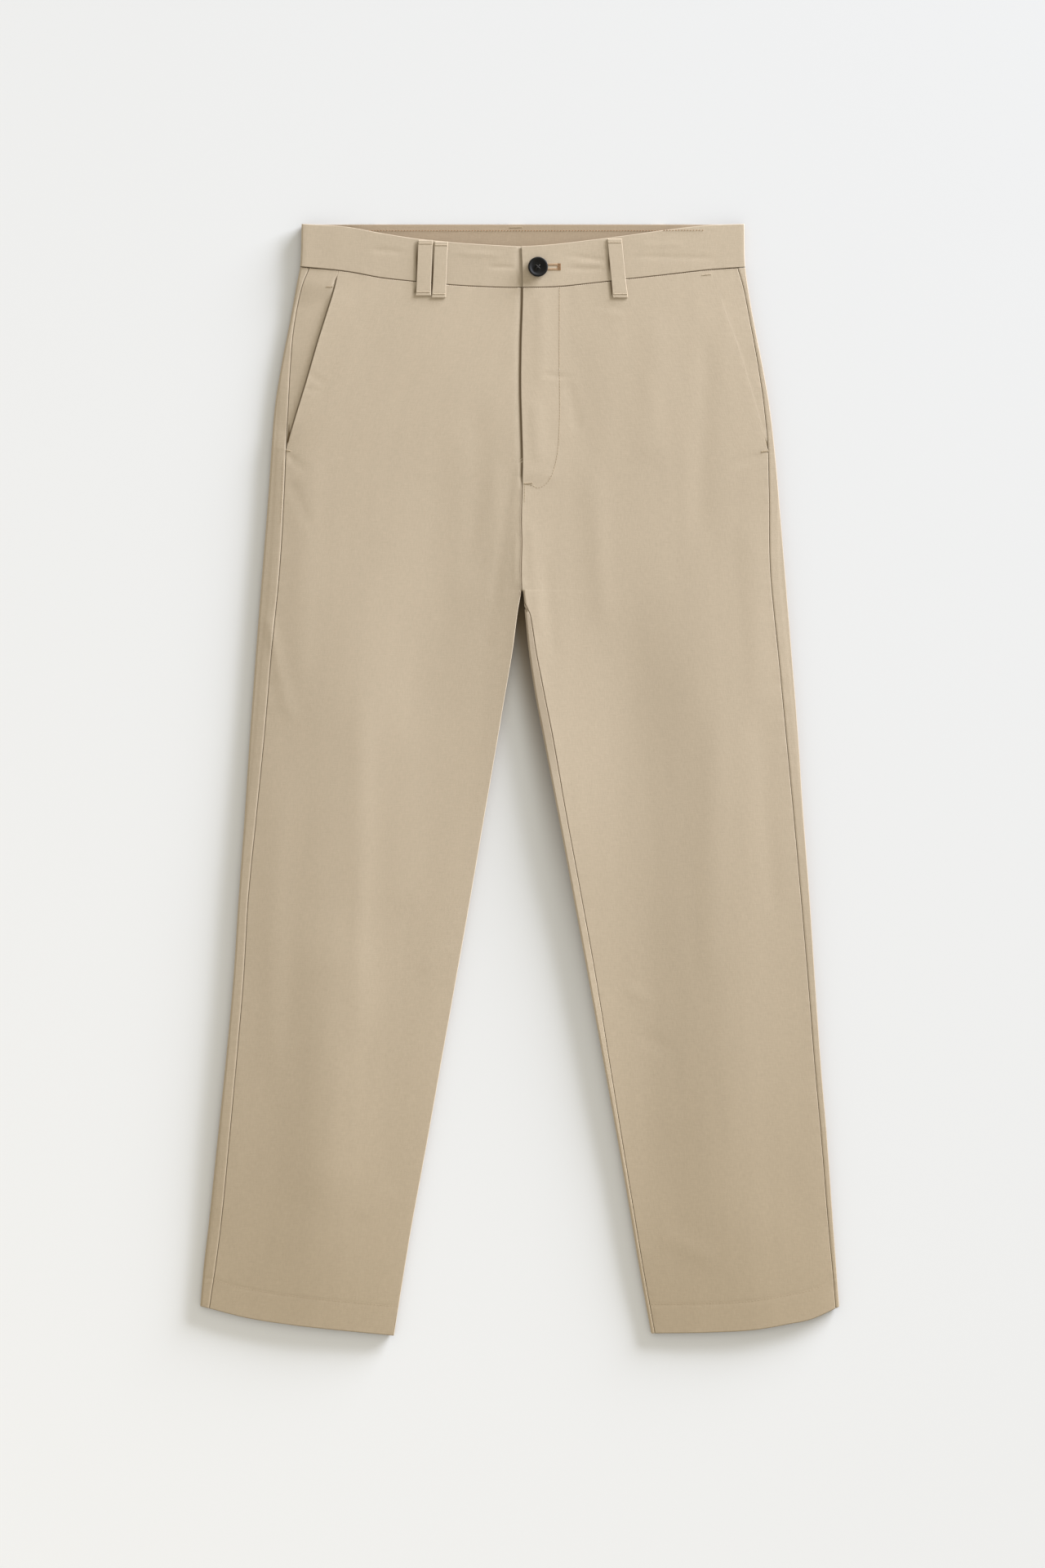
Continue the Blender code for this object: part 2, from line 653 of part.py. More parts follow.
def wall(name, rows, thickness, finish, collection, parent, hem_rows=0, up=True):
    """A grid laid through the rows' points, with its first face turned up or down and a wall behind."""
    grid = np.array(rows)
    if (first_normal(grid)[2] > 0) != up:
        grid = grid[:, ::-1]
    shape = bmesh.new()
    bmesh.ops.create_grid(shape, x_segments=grid.shape[1] - 1, y_segments=grid.shape[0] - 1, size=1)
    for vertex, place in zip(shape.verts, grid.reshape(-1, 3)):
        vertex.co = place
    mesh = bpy.data.meshes.new(name)
    shape.to_mesh(mesh)
    shape.free()
    obj = add(name, mesh, finish, collection, parent)
    thicken = obj.modifiers.new("wall", "SOLIDIFY")
    thicken.thickness = thickness
    thicken.offset = -1
    thicken.use_even_offset = True
    if hem_rows:
        turned_up = obj.vertex_groups.new(name="turned_up_hem")
        turned_up.add(list(range(hem_rows * grid.shape[1])), 1.0, "ADD")
        thicken.thickness = HEM_WALL
        thicken.vertex_group = turned_up.name
        thicken.thickness_vertex_group = thickness / HEM_WALL
    return obj


def first_normal(grid):
    """Normal of the grid's first face, from its column and row directions."""
    return np.cross(grid[0, 1] - grid[0, 0], grid[1, 0] - grid[0, 0])


def loop_rows(row):
    """A front belt loop: strips across the strap, from its tail below the seam to the band's top."""
    rows = []
    for rise in np.linspace(0, 1, LOOP_ROWS + 1):
        centre = (row.bottom_x + (row.top_x - row.bottom_x) * rise) * MM
        side = "right" if centre < 0 else "left"
        low = SEAM_Y(centre) - row.tail * MM
        high = BAND_EDGE_Y(centre) - row.top_drop * MM
        y = low + (high - low) * rise
        x = centre + row.width * MM * np.linspace(-0.5, 0.5, LOOP_COLUMNS + 1)
        seat = np.maximum(band_height(side, x), front_height(side, x, y))
        arch = LOOP_ARCH * math.sin(math.pi * rise)
        z = seat + SEAM_GAP + LOOP_WALL + arch
        rows.append(np.column_stack([x, np.full(len(x), y), z]))
    return rows


def back_loop_rows(x_centre):
    """A back belt loop, flat on the floor under the waistband."""
    rows = []
    for rise in np.linspace(1, 0, BAND_ROWS):
        y = WAIST_Y + BAND_GAP + (BAND_DEPTH - 3 * BAND_GAP) * rise
        x = x_centre + BACK_LOOP_WIDTH * np.linspace(-0.5, 0.5, LOOP_COLUMNS + 1)
        rows.append(np.column_stack([x, np.full(len(x), y), np.zeros(len(x))]))
    return rows


def shield_rows():
    """The fly shield, on the back and under the zip."""
    rows = []
    for y in np.linspace(*SHIELD_Y, FLY_ROWS + 1):
        x = CENTRE_X(y) + np.linspace(*SHIELD_X, SHIELD_COLUMNS + 1)
        rows.append(np.column_stack([x, np.full(len(x), y), np.full(len(x), SHIELD_TOP)]))
    return rows


def zip_rows():
    """The closed zip: two tapes with the raised row of its teeth between them."""
    rows = []
    for y in np.linspace(*ZIP_Y, FLY_ROWS + 1):
        x = CENTRE_X(y) + np.array([row.x for row in ZIP]) * MM
        z = SHIELD_TOP + LAYER_GAP + TAPE_WALL + np.array([row.rise for row in ZIP]) * MM
        rows.append(np.column_stack([x, np.full(len(x), y), z]))
    return rows


def button(finish, collection, cutters, parent):
    """A turned disc with a raised rim, bored through by four thread holes."""
    mesh = bpy.data.meshes.new("button")
    points = [(row.radius * BUTTON_RADIUS, 0, row.height * BUTTON_THICK) for row in BUTTON_PROFILE]
    mesh.from_pydata(points, [(i, i + 1) for i in range(len(points) - 1)], [])
    obj = add("button", mesh, finish, collection, parent)
    seat = float(band_height("left", BUTTON_X)) + SEAM_GAP
    obj.location = (BUTTON_X, BUTTON_Y, seat)
    turn = obj.modifiers.new("turned", "SCREW")
    turn.steps = turn.render_steps = BUTTON_SEGMENTS
    turn.use_merge_vertices = True
    turn.merge_threshold = 0.00001
    for number, (right, up) in enumerate(((1, 1), (1, -1), (-1, 1), (-1, -1))):
        bpy.ops.mesh.primitive_cylinder_add(
            vertices=BUTTON_HOLE_SEGMENTS,
            radius=BUTTON_HOLE_RADIUS,
            depth=4 * BUTTON_THICK,
            location=(
                BUTTON_X + right * BUTTON_HOLE_SPACING / 2,
                BUTTON_Y + up * BUTTON_HOLE_SPACING / 2,
                seat,
            ),
        )
        cutter = bpy.context.object
        cutter.name = f"thread_hole_{number}"
        cutter.hide_render = True
        cutter.display_type = "WIRE"
        for holder in list(cutter.users_collection):
            holder.objects.unlink(cutter)
        cutters.objects.link(cutter)
        cut = obj.modifiers.new(cutter.name, "BOOLEAN")
        cut.operation = "DIFFERENCE"
        cut.object = cutter
    return obj


def main():
    clear_scene()
    scene = bpy.context.scene
    trousers = bpy.data.collections.new("chino_trousers")
    cutters = bpy.data.collections.new("cutters")
    scene.collection.children.link(trousers)
    scene.collection.children.link(cutters)
    root = bpy.data.objects.new("trousers", None)
    trousers.objects.link(root)

    cloth = material("twill", SAND, roughness=0.9)
    inner_cloth = material("twill_inner", SAND_SHADE, roughness=0.9)
    plastic = material("button_plastic", BUTTON_BLACK, roughness=0.35)
    tape = material("zip_tape", ZIP_BEIGE, roughness=0.7)

    levels = [level * MM for level in reversed(LEVELS)]
    hem_rows = sum(level <= HEM_Y + HEM_DEPTH + MM for level in levels)
    for side in SIDES:
        front = [front_row(side, level) for level in levels]
        wall(f"front_{side}", front, CLOTH, cloth, trousers, root, hem_rows)
        back = [back_row(side, level) for level in levels]
        wall(f"back_{side}", back, CLOTH, cloth, trousers, root, hem_rows)
        deep = [level for level in levels if level > MOUTH_END_Y - FACING_BELOW]
        facings = [facing_row(side, level) for level in deep]
        wall(f"pocket_facing_{side}", facings, CLOTH, inner_cloth, trousers, root)
        band = [band_row(side, rise) for rise in np.linspace(0, 1, BAND_ROWS + 1)]
        wall(f"waistband_{side}", band, BAND_WALL, cloth, trousers, root)
    for row in FRONT_LOOPS:
        wall(row.name, loop_rows(row), LOOP_WALL, cloth, trousers, root)
    for row in BACK_LOOPS:
        wall(row.name, back_loop_rows(row.x * MM), LOOP_WALL, cloth, trousers, root, up=False)
    wall("fly_shield", shield_rows(), SHIELD_WALL, inner_cloth, trousers, root)
    wall("zip", zip_rows(), TAPE_WALL, tape, trousers, root)
    button(plastic, trousers, cutters, root)


main()
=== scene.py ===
# %% [markdown]
# # Chino trousers, laid flat
#
# A pair of sand-coloured cotton chinos lies front up on a pale floor, and the camera looks straight down.
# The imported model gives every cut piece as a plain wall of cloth. This script dresses it: each piece is
# made again as a finer shell of the same form, with seams that sink in, puckers beside them, soft creases,
# sewing and a woven finish. "right" and "left" are the wearer's. Everything is in metres, with X towards
# the wearer's left, Y from the hems to the waist and Z up.

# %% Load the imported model
import math
from collections import namedtuple

import bmesh
import bpy
import numpy as np
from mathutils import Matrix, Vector
from mathutils.bvhtree import BVHTree


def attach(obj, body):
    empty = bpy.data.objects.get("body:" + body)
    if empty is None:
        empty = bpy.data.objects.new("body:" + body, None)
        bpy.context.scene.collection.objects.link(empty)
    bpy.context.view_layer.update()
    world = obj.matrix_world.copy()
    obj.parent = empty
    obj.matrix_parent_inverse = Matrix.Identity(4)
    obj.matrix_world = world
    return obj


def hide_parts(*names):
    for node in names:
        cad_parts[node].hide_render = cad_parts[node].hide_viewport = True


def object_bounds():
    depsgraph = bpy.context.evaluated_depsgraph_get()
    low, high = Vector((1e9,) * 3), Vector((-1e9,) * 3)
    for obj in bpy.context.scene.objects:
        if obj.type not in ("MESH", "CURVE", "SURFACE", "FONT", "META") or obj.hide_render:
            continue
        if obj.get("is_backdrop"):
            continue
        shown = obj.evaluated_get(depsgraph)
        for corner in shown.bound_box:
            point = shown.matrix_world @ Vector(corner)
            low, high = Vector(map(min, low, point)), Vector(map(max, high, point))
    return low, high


MM = 0.001
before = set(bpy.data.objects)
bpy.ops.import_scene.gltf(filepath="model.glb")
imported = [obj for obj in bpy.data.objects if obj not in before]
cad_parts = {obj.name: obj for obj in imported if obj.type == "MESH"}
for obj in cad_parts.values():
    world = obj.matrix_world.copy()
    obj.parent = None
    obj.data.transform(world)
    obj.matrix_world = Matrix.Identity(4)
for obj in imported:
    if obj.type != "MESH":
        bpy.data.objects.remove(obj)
cad_box = [list(corner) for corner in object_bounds()]
print(f"packed model: {len(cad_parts)} nodes, box {cad_box}")

# %% [markdown]
# ## Camera
#
# The trousers are seen from straight above, so a long lens high over them keeps every part at one scale.
# Its height follows from how much of the floor the view spans. A camera that isn't turned looks down -Z with
# +Y at the top of the view, which is what is wanted here.

# %% Camera
LENS = 100
SENSOR = 36                     # along the view's long side
VIEW_HEIGHT = 1456 * MM         # floor that the view spans, from its lower to its upper edge
VIEW_MIDDLE = (2.7 * MM, -4.0 * MM)


def put(name, data):
    """An object with this data, put in the scene."""
    made = bpy.data.objects.new(name, data)
    bpy.context.scene.collection.objects.link(made)
    return made


camera_data = bpy.data.cameras.new("camera")
camera_data.lens = LENS
camera_data.sensor_width = SENSOR
camera = put("camera", camera_data)
camera.location = (*VIEW_MIDDLE, VIEW_HEIGHT * LENS / SENSOR + cad_box[1][2] / 2)
bpy.context.scene.camera = camera
print(f"camera {camera.location.z:.2f} m above the floor")

# %% [markdown]
# ## Smooth lines through short tables
#
# A pattern cutter marks a few points of each edge and draws a smooth line through them. The tables below
# hold such points in millimetres, with named columns, and `curve` is the smooth line: a cubic between each
# pair of rows whose slope at a row is the mean of its two neighbours' slopes. `line` does the same for a
# line that turns back on itself, such as the stitching of a fly.

# %% Curves and soft steps
Point = namedtuple("Point", "x y")


def smooth(t):
    """0 below 0, 1 above 1 and an even S between."""
    t = np.clip(t, 0, 1)
    return t * t * (3 - 2 * t)


def bell(t):
    """1 at 0, falling softly to 0 on both sides."""
    return np.exp(-t * t)


def through(known, values):
    """A smooth curve through values at known places, straight beyond its ends."""
    steps = np.diff(values) / np.diff(known)
    slopes = np.concatenate([steps[:1], (steps[1:] + steps[:-1]) / 2, steps[-1:]])

    def at(place):
        place = np.asarray(place, float)
        inside = np.clip(place, known[0], known[-1])
        index = np.clip(np.searchsorted(known, inside, side="right") - 1, 0, len(steps) - 1)
        width = known[index + 1] - known[index]
        t = (inside - known[index]) / width
        rise = values[index + 1] - values[index]
        value = (
            values[index]
            + rise * t * t * (3 - 2 * t)
            + width * t * (1 - t) * ((1 - t) * slopes[index] - t * slopes[index + 1])
        )
        beyond = place - inside
        return value + beyond * np.where(beyond < 0, slopes[0], slopes[-1])

    return at


def curve(rows, along, across):
    """A smooth curve through one column of a table against another."""
    known, values = np.array(sorted((getattr(row, along), getattr(row, across)) for row in rows)).T * MM
    return through(known, values)


def line(points, spacing=1 * MM):
    """Points at even spacing on a smooth line through a few points in millimetres."""
    corners = np.array([(point.x, point.y) for point in points]) * MM
    length = np.concatenate([[0], np.cumsum(np.hypot(*np.diff(corners, axis=0).T))])
    place = np.linspace(0, length[-1], max(int(round(length[-1] / spacing)), 1) + 1)
    return np.column_stack([through(length, corners[:, 0])(place), through(length, corners[:, 1])(place)])


def graded(start, end, coarse, fine, stops, reach):
    """Places from start to end, closer together near the stops."""
    places = [start]
    while places[-1] < end:
        nearest = min(abs(places[-1] - stop) for stop in stops)
        places.append(places[-1] + fine + (coarse - fine) * float(smooth(nearest / reach)))
    places = np.array(places)
    return start + (places - start) * (end - start) / (places[-1] - start)

# %% [markdown]
# ## The outline
#
# Each leg is a tube pressed flat. Its outer edge is a fold of the back's cloth, which comes round on top to
# the side seam. Its inner edge is the other fold: the right leg's inseam lies just on it, and the left
# leg's comes a little way round on top. The tables give both edges and both seams at a few levels.

# %% Side edges and side seams
SIDES = ("right", "left")
TOWARDS_SIDE = {"right": -1, "left": 1}
SideRow = namedtuple("SideRow", "y edge seam")
SIDE = {
    "right": (
        SideRow(516, -202.5, -194.0),
        SideRow(476, -204.0, -195.5),
        SideRow(460, -207.0, -201.5),
        SideRow(422, -214.0, -209.5),
        SideRow(384, -221.5, -213.0),
        SideRow(346, -227.5, -215.0),
        SideRow(308, -230.5, -217.0),
        SideRow(270, -233.0, -218.5),
        SideRow(194, -239.0, -223.0),
        SideRow(118, -245.0, -230.5),
        SideRow(42, -250.5, -237.0),
        SideRow(-34, -255.5, -244.5),
        SideRow(-110, -261.0, -252.0),
        SideRow(-186, -266.0, -256.5),
        SideRow(-262, -273.0, -263.0),
        SideRow(-338, -281.0, -270.0),
        SideRow(-414, -289.0, -277.5),
        SideRow(-452, -293.5, -282.5),
        SideRow(-489, -296.8, -288.0),
    ),
    "left": (
        SideRow(516, 208.6, 201.0),
        SideRow(476, 209.5, 202.5),
        SideRow(460, 211.5, 207.0),
        SideRow(422, 218.0, 214.6),
        SideRow(384, 225.5, 221.5),
        SideRow(346, 232.0, 227.0),
        SideRow(308, 236.5, 230.5),
        SideRow(270, 240.0, 231.5),
        SideRow(194, 246.3, 232.7),
        SideRow(156, 249.4, 236.0),
        SideRow(118, 252.5, 240.0),
        SideRow(42, 258.5, 247.3),
        SideRow(-34, 263.5, 254.5),
        SideRow(-110, 269.2, 261.3),
        SideRow(-186, 274.2, 267.8),
        SideRow(-262, 279.5, 273.8),
        SideRow(-338, 285.8, 280.6),
        SideRow(-414, 291.2, 286.8),
        SideRow(-452, 294.0, 290.4),
        SideRow(-489, 296.8, 293.6),
    ),
}
EDGE = {side: curve(SIDE[side], "y", "edge") for side in SIDES}
SEAM = {side: curve(SIDE[side], "y", "seam") for side in SIDES}
widths = [round(row.edge - row.seam, 1) for row in SIDE["left"]]
print(f"the back comes {min(widths)} to {max(widths)} mm round on top along the left side")

# %% Inner edges
InnerRow = namedtuple("InnerRow", "y edge wrap")
INNER = {
    "right": (
        InnerRow(175.8, 1.8, 0),
        InnerRow(156, -1.9, 0),
        InnerRow(118, -8.0, 0),
        InnerRow(80, -14.6, 0),
        InnerRow(42, -21.0, 0),
        InnerRow(-34, -34.0, 0),
        InnerRow(-110, -47.0, 0),
        InnerRow(-186, -60.4, 0),
        InnerRow(-262, -74.0, 0),
        InnerRow(-338, -87.5, 0),
        InnerRow(-414, -101.5, 0),
        InnerRow(-452, -107.8, 0),
        InnerRow(-516, -118.0, 0),
    ),
    "left": (
        InnerRow(175.8, 2.0, 1.5),
        InnerRow(156, 4.9, 4.5),
        InnerRow(118, 9.9, 6.8),
        InnerRow(80, 15.6, 8.5),
        InnerRow(42, 22.8, 8.8),
        InnerRow(-34, 37.3, 7.6),
        InnerRow(-110, 51.5, 7.4),
        InnerRow(-186, 65.5, 7.0),
        InnerRow(-262, 79.2, 5.5),
        InnerRow(-338, 93.0, 4.0),
        InnerRow(-414, 106.0, 3.5),
        InnerRow(-452, 112.3, 3.5),
        InnerRow(-514, 123.5, 3.5),
    ),
}
INNER_FULLNESS = 1.3 * MM       # the pressed fold swells past the cut line, but not at the crotch
FULL_BELOW_Y = 170 * MM
FULLNESS_EASE = 60 * MM
NOTCH = 1.0 * MM                # just below the crotch the left leg gives way to a small round notch
NOTCH_Y = 172 * MM
NOTCH_HEIGHT = 10 * MM
INNER_LINE = {side: curve(INNER[side], "y", "edge") for side in SIDES}


def fuller(side):
    """The inner edge of a leg, as a function of y."""
    outward = TOWARDS_SIDE[side]
    notch = NOTCH if side == "left" else 0

    def edge(y):
        swell = INNER_FULLNESS * smooth((FULL_BELOW_Y - y) / FULLNESS_EASE)
        given_way = notch * bell((y - NOTCH_Y) / NOTCH_HEIGHT)
        return INNER_LINE[side](y) - outward * (swell - given_way)

    return edge


INNER_EDGE = {side: fuller(side) for side in SIDES}
INNER_WRAP = curve(INNER["left"], "y", "wrap")
print(f"and up to {max(row.wrap for row in INNER['left'])} mm along the left leg's inner edge")

# %% [markdown]
# The two fronts meet at the fly and below it in the crotch seam. Near each side the front is cut away
# along a slanting line, the pocket's mouth. The waist seam and the upper edge of the front waistband dip
# towards the middle, so the inside of the back waistband shows above it. The hems curve a little.

# %% Fly, pocket mouths, waist and hems
WAIST_Y = 476 * MM
HEM_Y = -489 * MM
CROTCH_Y = 175.8 * MM
FLY_END_Y = 278 * MM
MOUTH_END_Y = 306.5 * MM
CENTRE_BACK_X = -3.4 * MM
CentreRow = namedtuple("CentreRow", "y x")
CENTRE = (
    CentreRow(516, 0.8),
    CentreRow(457, 3.0),
    CentreRow(406, 1.7),
    CentreRow(364, 1.3),
    CentreRow(332, 2.1),
    CentreRow(295, 3.0),
    CentreRow(278, 2.6),
    CentreRow(239, 1.6),
    CentreRow(219, 2.1),
    CentreRow(198, 1.5),
    CentreRow(175.8, 1.9),
)
MouthRow = namedtuple("MouthRow", "y right left")
MOUTH = (
    MouthRow(480, -167.0, 176.2),
    MouthRow(456, -172.0, 182.6),
    MouthRow(434, -178.7, 190.2),
    MouthRow(407, -187.2, 200.2),
    MouthRow(371, -197.6, 211.3),
    MouthRow(337, -208.0, 221.2),
    MouthRow(306.5, -217.1, 230.6),
)
WaistRow = namedtuple("WaistRow", "x seam top")
WAIST = (
    WaistRow(-204, 476.3, 516.2),
    WaistRow(-160, 471.8, 513.2),
    WaistRow(-128, 466.0, 507.4),
    WaistRow(-96, 462.5, 502.4),
    WaistRow(-62, 459.3, 499.0),
    WaistRow(-22, 457.3, 496.3),
    WaistRow(2, 457.0, 495.3),
    WaistRow(36, 457.8, 497.6),
    WaistRow(63, 460.5, 500.8),
    WaistRow(96, 464.4, 504.9),
    WaistRow(132, 468.4, 510.0),
    WaistRow(175, 473.3, 514.7),
    WaistRow(209, 475.8, 516.0),
)
HemRow = namedtuple("HemRow", "x y")
HEM = {
    "right": (
        HemRow(-297, -488.9),
        HemRow(-287, -491.4),
        HemRow(-255, -499.5),
        HemRow(-210, -506.6),
        HemRow(-153, -512.8),
        HemRow(-118, -516.2),
    ),
    "left": (
        HemRow(124, -514.3),
        HemRow(176, -513.4),
        HemRow(219, -510.9),
        HemRow(250, -505.6),
        HemRow(271, -501.2),
        HemRow(297, -489.5),
    ),
}
MOUTH_X = {side: curve(MOUTH, "y", side) for side in SIDES}
CENTRE_X = curve(CENTRE, "y", "x")
SEAM_Y = curve(WAIST, "x", "seam")
BAND_EDGE_Y = curve(WAIST, "x", "top")
HEM_CURVE = {side: curve(HEM[side], "x", "y") for side in SIDES}
waist = float(EDGE["left"](WAIST_Y) - EDGE["right"](WAIST_Y))
print(f"waist {waist:.3f} m across, inseam {CROTCH_Y - HEM_Y:.3f} m")

# %% [markdown]
# ## How high the cloth lies
#
# The trousers are two layers of cloth with a little air between them, 5 to 10 mm in all. On that lie the
# broad folds of the legs and many small creases. A crease is a soft ridge or trough from one point to
# another, with a width and a height of its own, so a table can give them one by one, unevenly, as they
# fall in real cloth. Broad ones come first.

# %% Broad folds
Crease = namedtuple("Crease", "x1 y1 x2 y2 half_width height")
FOLDS = {
    "right": (
        Crease(-150, 230, -186, -470, 48, 1.8),
        Crease(-170, -110, -180, -390, 34, 0.8),
        Crease(-146, 110, -150, -230, 11, 0.35),
        Crease(-100, 60, -108, -120, 17, 0.25),
        Crease(-68, 330, -88, 60, 30, -0.4),
        Crease(-222, 40, -232, -260, 13, 0.3),
        Crease(-196, 330, -204, 90, 12, 0.3),
        Crease(-38, 360, -40, 190, 13, -0.35),
    ),
    "left": (
        Crease(176, 220, 200, -460, 46, 1.2),
        Crease(95, 220, 118, -390, 40, -1.0),
        Crease(182, 90, 176, -180, 12, 0.2),
        Crease(174, 425, 168, 230, 10, -0.25),
        Crease(130, 440, 120, 300, 14, 0.25),
        Crease(54, 420, 62, 300, 12, -0.1),
        Crease(66, 300, 78, 150, 11, 0.25),
        Crease(214, 260, 222, 60, 12, 0.3),
        Crease(222, 120, 236, -120, 10, -0.2),
    ),
}
FOLD_IN = 0.25                  # share of its length over which a crease begins
FOLD_OUT = 0.2                  # and over which it ends, half of it past its end


def crease_height(creases, x, y):
    """The sum of the ridges and troughs at a point."""
    total = 0.0
    for crease in creases:
        start = np.array([crease.x1, crease.y1]) * MM
        end = np.array([crease.x2, crease.y2]) * MM
        length = np.linalg.norm(end - start)
        along = (end - start) / length
        t = ((x - start[0]) * along[0] + (y - start[1]) * along[1]) / length
        off = ((y - start[1]) * along[0] - (x - start[0]) * along[1]) / (crease.half_width * MM)
        ends = smooth(t / FOLD_IN) * smooth((1 - t) / FOLD_OUT + 0.5)
        total = total + crease.height * MM * bell(off) * ends
    return total


print(f"{sum(map(len, FOLDS.values()))} broad folds")

# %% [markdown]
# The small creases gather where the cloth is pulled: below the fly, at the ends of the pocket mouths and
# under the belt loops. The rest of the cloth is pressed smooth.

# %% Small creases
CREASES = {
    "right": (
        Crease(-197, 377, -180, 367, 1.8, -0.22),
        Crease(-200, 363, -184, 360, 1.6, -0.18),
        Crease(-216, 303, -200, 287, 2.6, -0.25),
        Crease(-214, 280, -196, 238, 4, -0.2),
        Crease(-6, 300, -23, 162, 3.5, -0.2),
        Crease(-14, 240, -32, 122, 3.5, -0.12),
        Crease(-3.5, 234, -5, 184, 2.6, 0.12),
        Crease(-18, 300, -40, 200, 7, 0.15),
        Crease(-236, 160, -214, 60, 5, 0.3),
        Crease(-60, -150, -92, -176, 7, 0.15),
        Crease(-112, -380, -150, -404, 8, 0.15),
    ),
    "left": (
        Crease(21, 462, 20, 372, 6, 0.2),
        Crease(20, 377, 45, 373, 1.7, -0.2),
        Crease(44, 373, 54, 326, 3, -0.25),
        Crease(14, 356, 18, 298, 5.5, 0.2),
        Crease(10, 250, 18, 140, 5, 0.15),
        Crease(20, 215, 34, 110, 5, -0.12),
        Crease(70, 441, 96, 436, 1.8, -0.1),
        Crease(76, 434, 94, 430, 2.4, 0.08),
        Crease(226, 304, 205, 292, 2.6, -0.2),
        Crease(96, -190, 120, -206, 6, 0.12),
        Crease(110, -236, 138, -250, 7, -0.12),
        Crease(128, -420, 180, -446, 9, 0.15),
    ),
}
print(f"{sum(map(len, CREASES.values()))} small creases on the fronts")

# %% [markdown]
# Pressed cotton is never quite flat: faint ripples run down the legs. They are smooth random hills on a
# lattice, drawn out lengthwise, and each lattice has its own seed, so that the cloth comes out the same
# every time.

# %% Ripples and wandering lines
LATTICE_REACH = 0.8             # how far a lattice of hills goes on every side of the middle


def hills(seed, spacing, stretch=1.0):
    """Smooth random hills between -1 and 1, as a function of x and y."""
    size = int(2 * LATTICE_REACH / spacing) + 3
    lattice = np.random.default_rng(seed).uniform(-1, 1, (size, size))

    def at(x, y):
        across, along = (x + LATTICE_REACH) / spacing, (y + LATTICE_REACH) / (spacing * stretch)
        i, j = np.floor(across).astype(int), np.floor(along).astype(int)
        a, b = smooth(across - i), smooth(along - j)
        low = lattice[i, j] * (1 - a) + lattice[i + 1, j] * a
        high = lattice[i, j + 1] * (1 - a) + lattice[i + 1, j + 1] * a
        return low * (1 - b) + high * b

    return at


def wander(seed, spacing):
    """A smooth random line between -1 and 1, as a function of one distance."""
    line_of_hills = hills(seed, spacing)
    return lambda place: line_of_hills(place, np.zeros_like(place))


Ripple = namedtuple("Ripple", "seed spacing stretch height")
RIPPLES = (Ripple(11, 60, 2.5, 0.2), Ripple(12, 22, 5, 0.05), Ripple(13, 9, 8, 0.02))
RIPPLE_HILLS = [(row.height * MM, hills(row.seed, row.spacing * MM, row.stretch)) for row in RIPPLES]


def unevenness(x, y):
    """The height of all the ripples at a point."""
    return sum(height * at(x, y) for height, at in RIPPLE_HILLS)


print(f"ripples {', '.join(str(row.spacing) for row in RIPPLES)} mm apart")

# %% [markdown]
# A leg isn't a board: its middle stands higher than its edges, except at the crotch, where four seams meet
# and hold the cloth up. A table gives how full the legs are on the way down, and how much higher or lower
# each is at its outer and inner edge, and this dies out across the leg.

# %% Heights of the legs
Heights = namedtuple("Heights", "y body right_outer right_inner left_inner left_outer")
LEG_HEIGHTS = (
    Heights(476, 0.2, -0.6, 0.0, 0.0, -0.3),
    Heights(400, 1.2, -1.6, 0.0, 0.0, -0.3),
    Heights(330, 1.7, -2.4, 0.4, 0.4, -0.4),
    Heights(239, 1.8, -2.7, 1.5, 1.4, -0.5),
    Heights(176, 1.8, -2.6, 2.4, 2.4, -0.5),
    Heights(148, 1.7, -2.5, 2.1, 2.8, -0.4),
    Heights(57, 1.5, -2.2, 0.8, 3.1, -0.3),
    Heights(-34, 1.6, -1.8, -0.4, 2.9, -0.2),
    Heights(-126, 1.6, -1.5, -1.0, 1.6, -0.2),
    Heights(-217, 1.4, -1.1, -1.2, 1.1, -0.2),
    Heights(-308, 1.1, -0.8, -1.3, 0.8, -0.4),
    Heights(-399, 0.6, -1.0, -1.2, 0.1, -0.9),
    Heights(-489, 0.0, -1.3, -1.0, -0.9, -1.6),
)
OUTER_REACH = 24 * MM
INNER_REACH = {"right": 25 * MM, "left": 38 * MM}
LEG_HEIGHT = {name: curve(LEG_HEIGHTS, "y", name) for name in Heights._fields[1:]}


def edge_height(side, x, y):
    """How much the outer and inner edges of a leg raise or lower the cloth here."""
    outward = TOWARDS_SIDE[side]
    from_outer = np.maximum((EDGE[side](y) - x) * outward, 0)
    inner = np.where(y > CROTCH_Y, CENTRE_X(y), INNER_EDGE[side](y))
    from_inner = np.maximum((x - inner) * outward, 0)
    outer = LEG_HEIGHT[side + "_outer"](y) * np.exp(-from_outer / OUTER_REACH)
    return outer + LEG_HEIGHT[side + "_inner"](y) * np.exp(-from_inner / INNER_REACH[side])


print(f"heights of the legs at {len(LEG_HEIGHTS)} levels")

# %% [markdown]
# Beside the fly the left front stands a little proud, because its facing and the zip lie under it, and the
# right front dips to pass below it. Outside the right pocket's mouth everything lies one cloth lower, and
# that pocket's edge stands slightly open too; the left one is pressed almost level. The waistband is a layer
# thicker, and its buttonhole end lies over its button end.

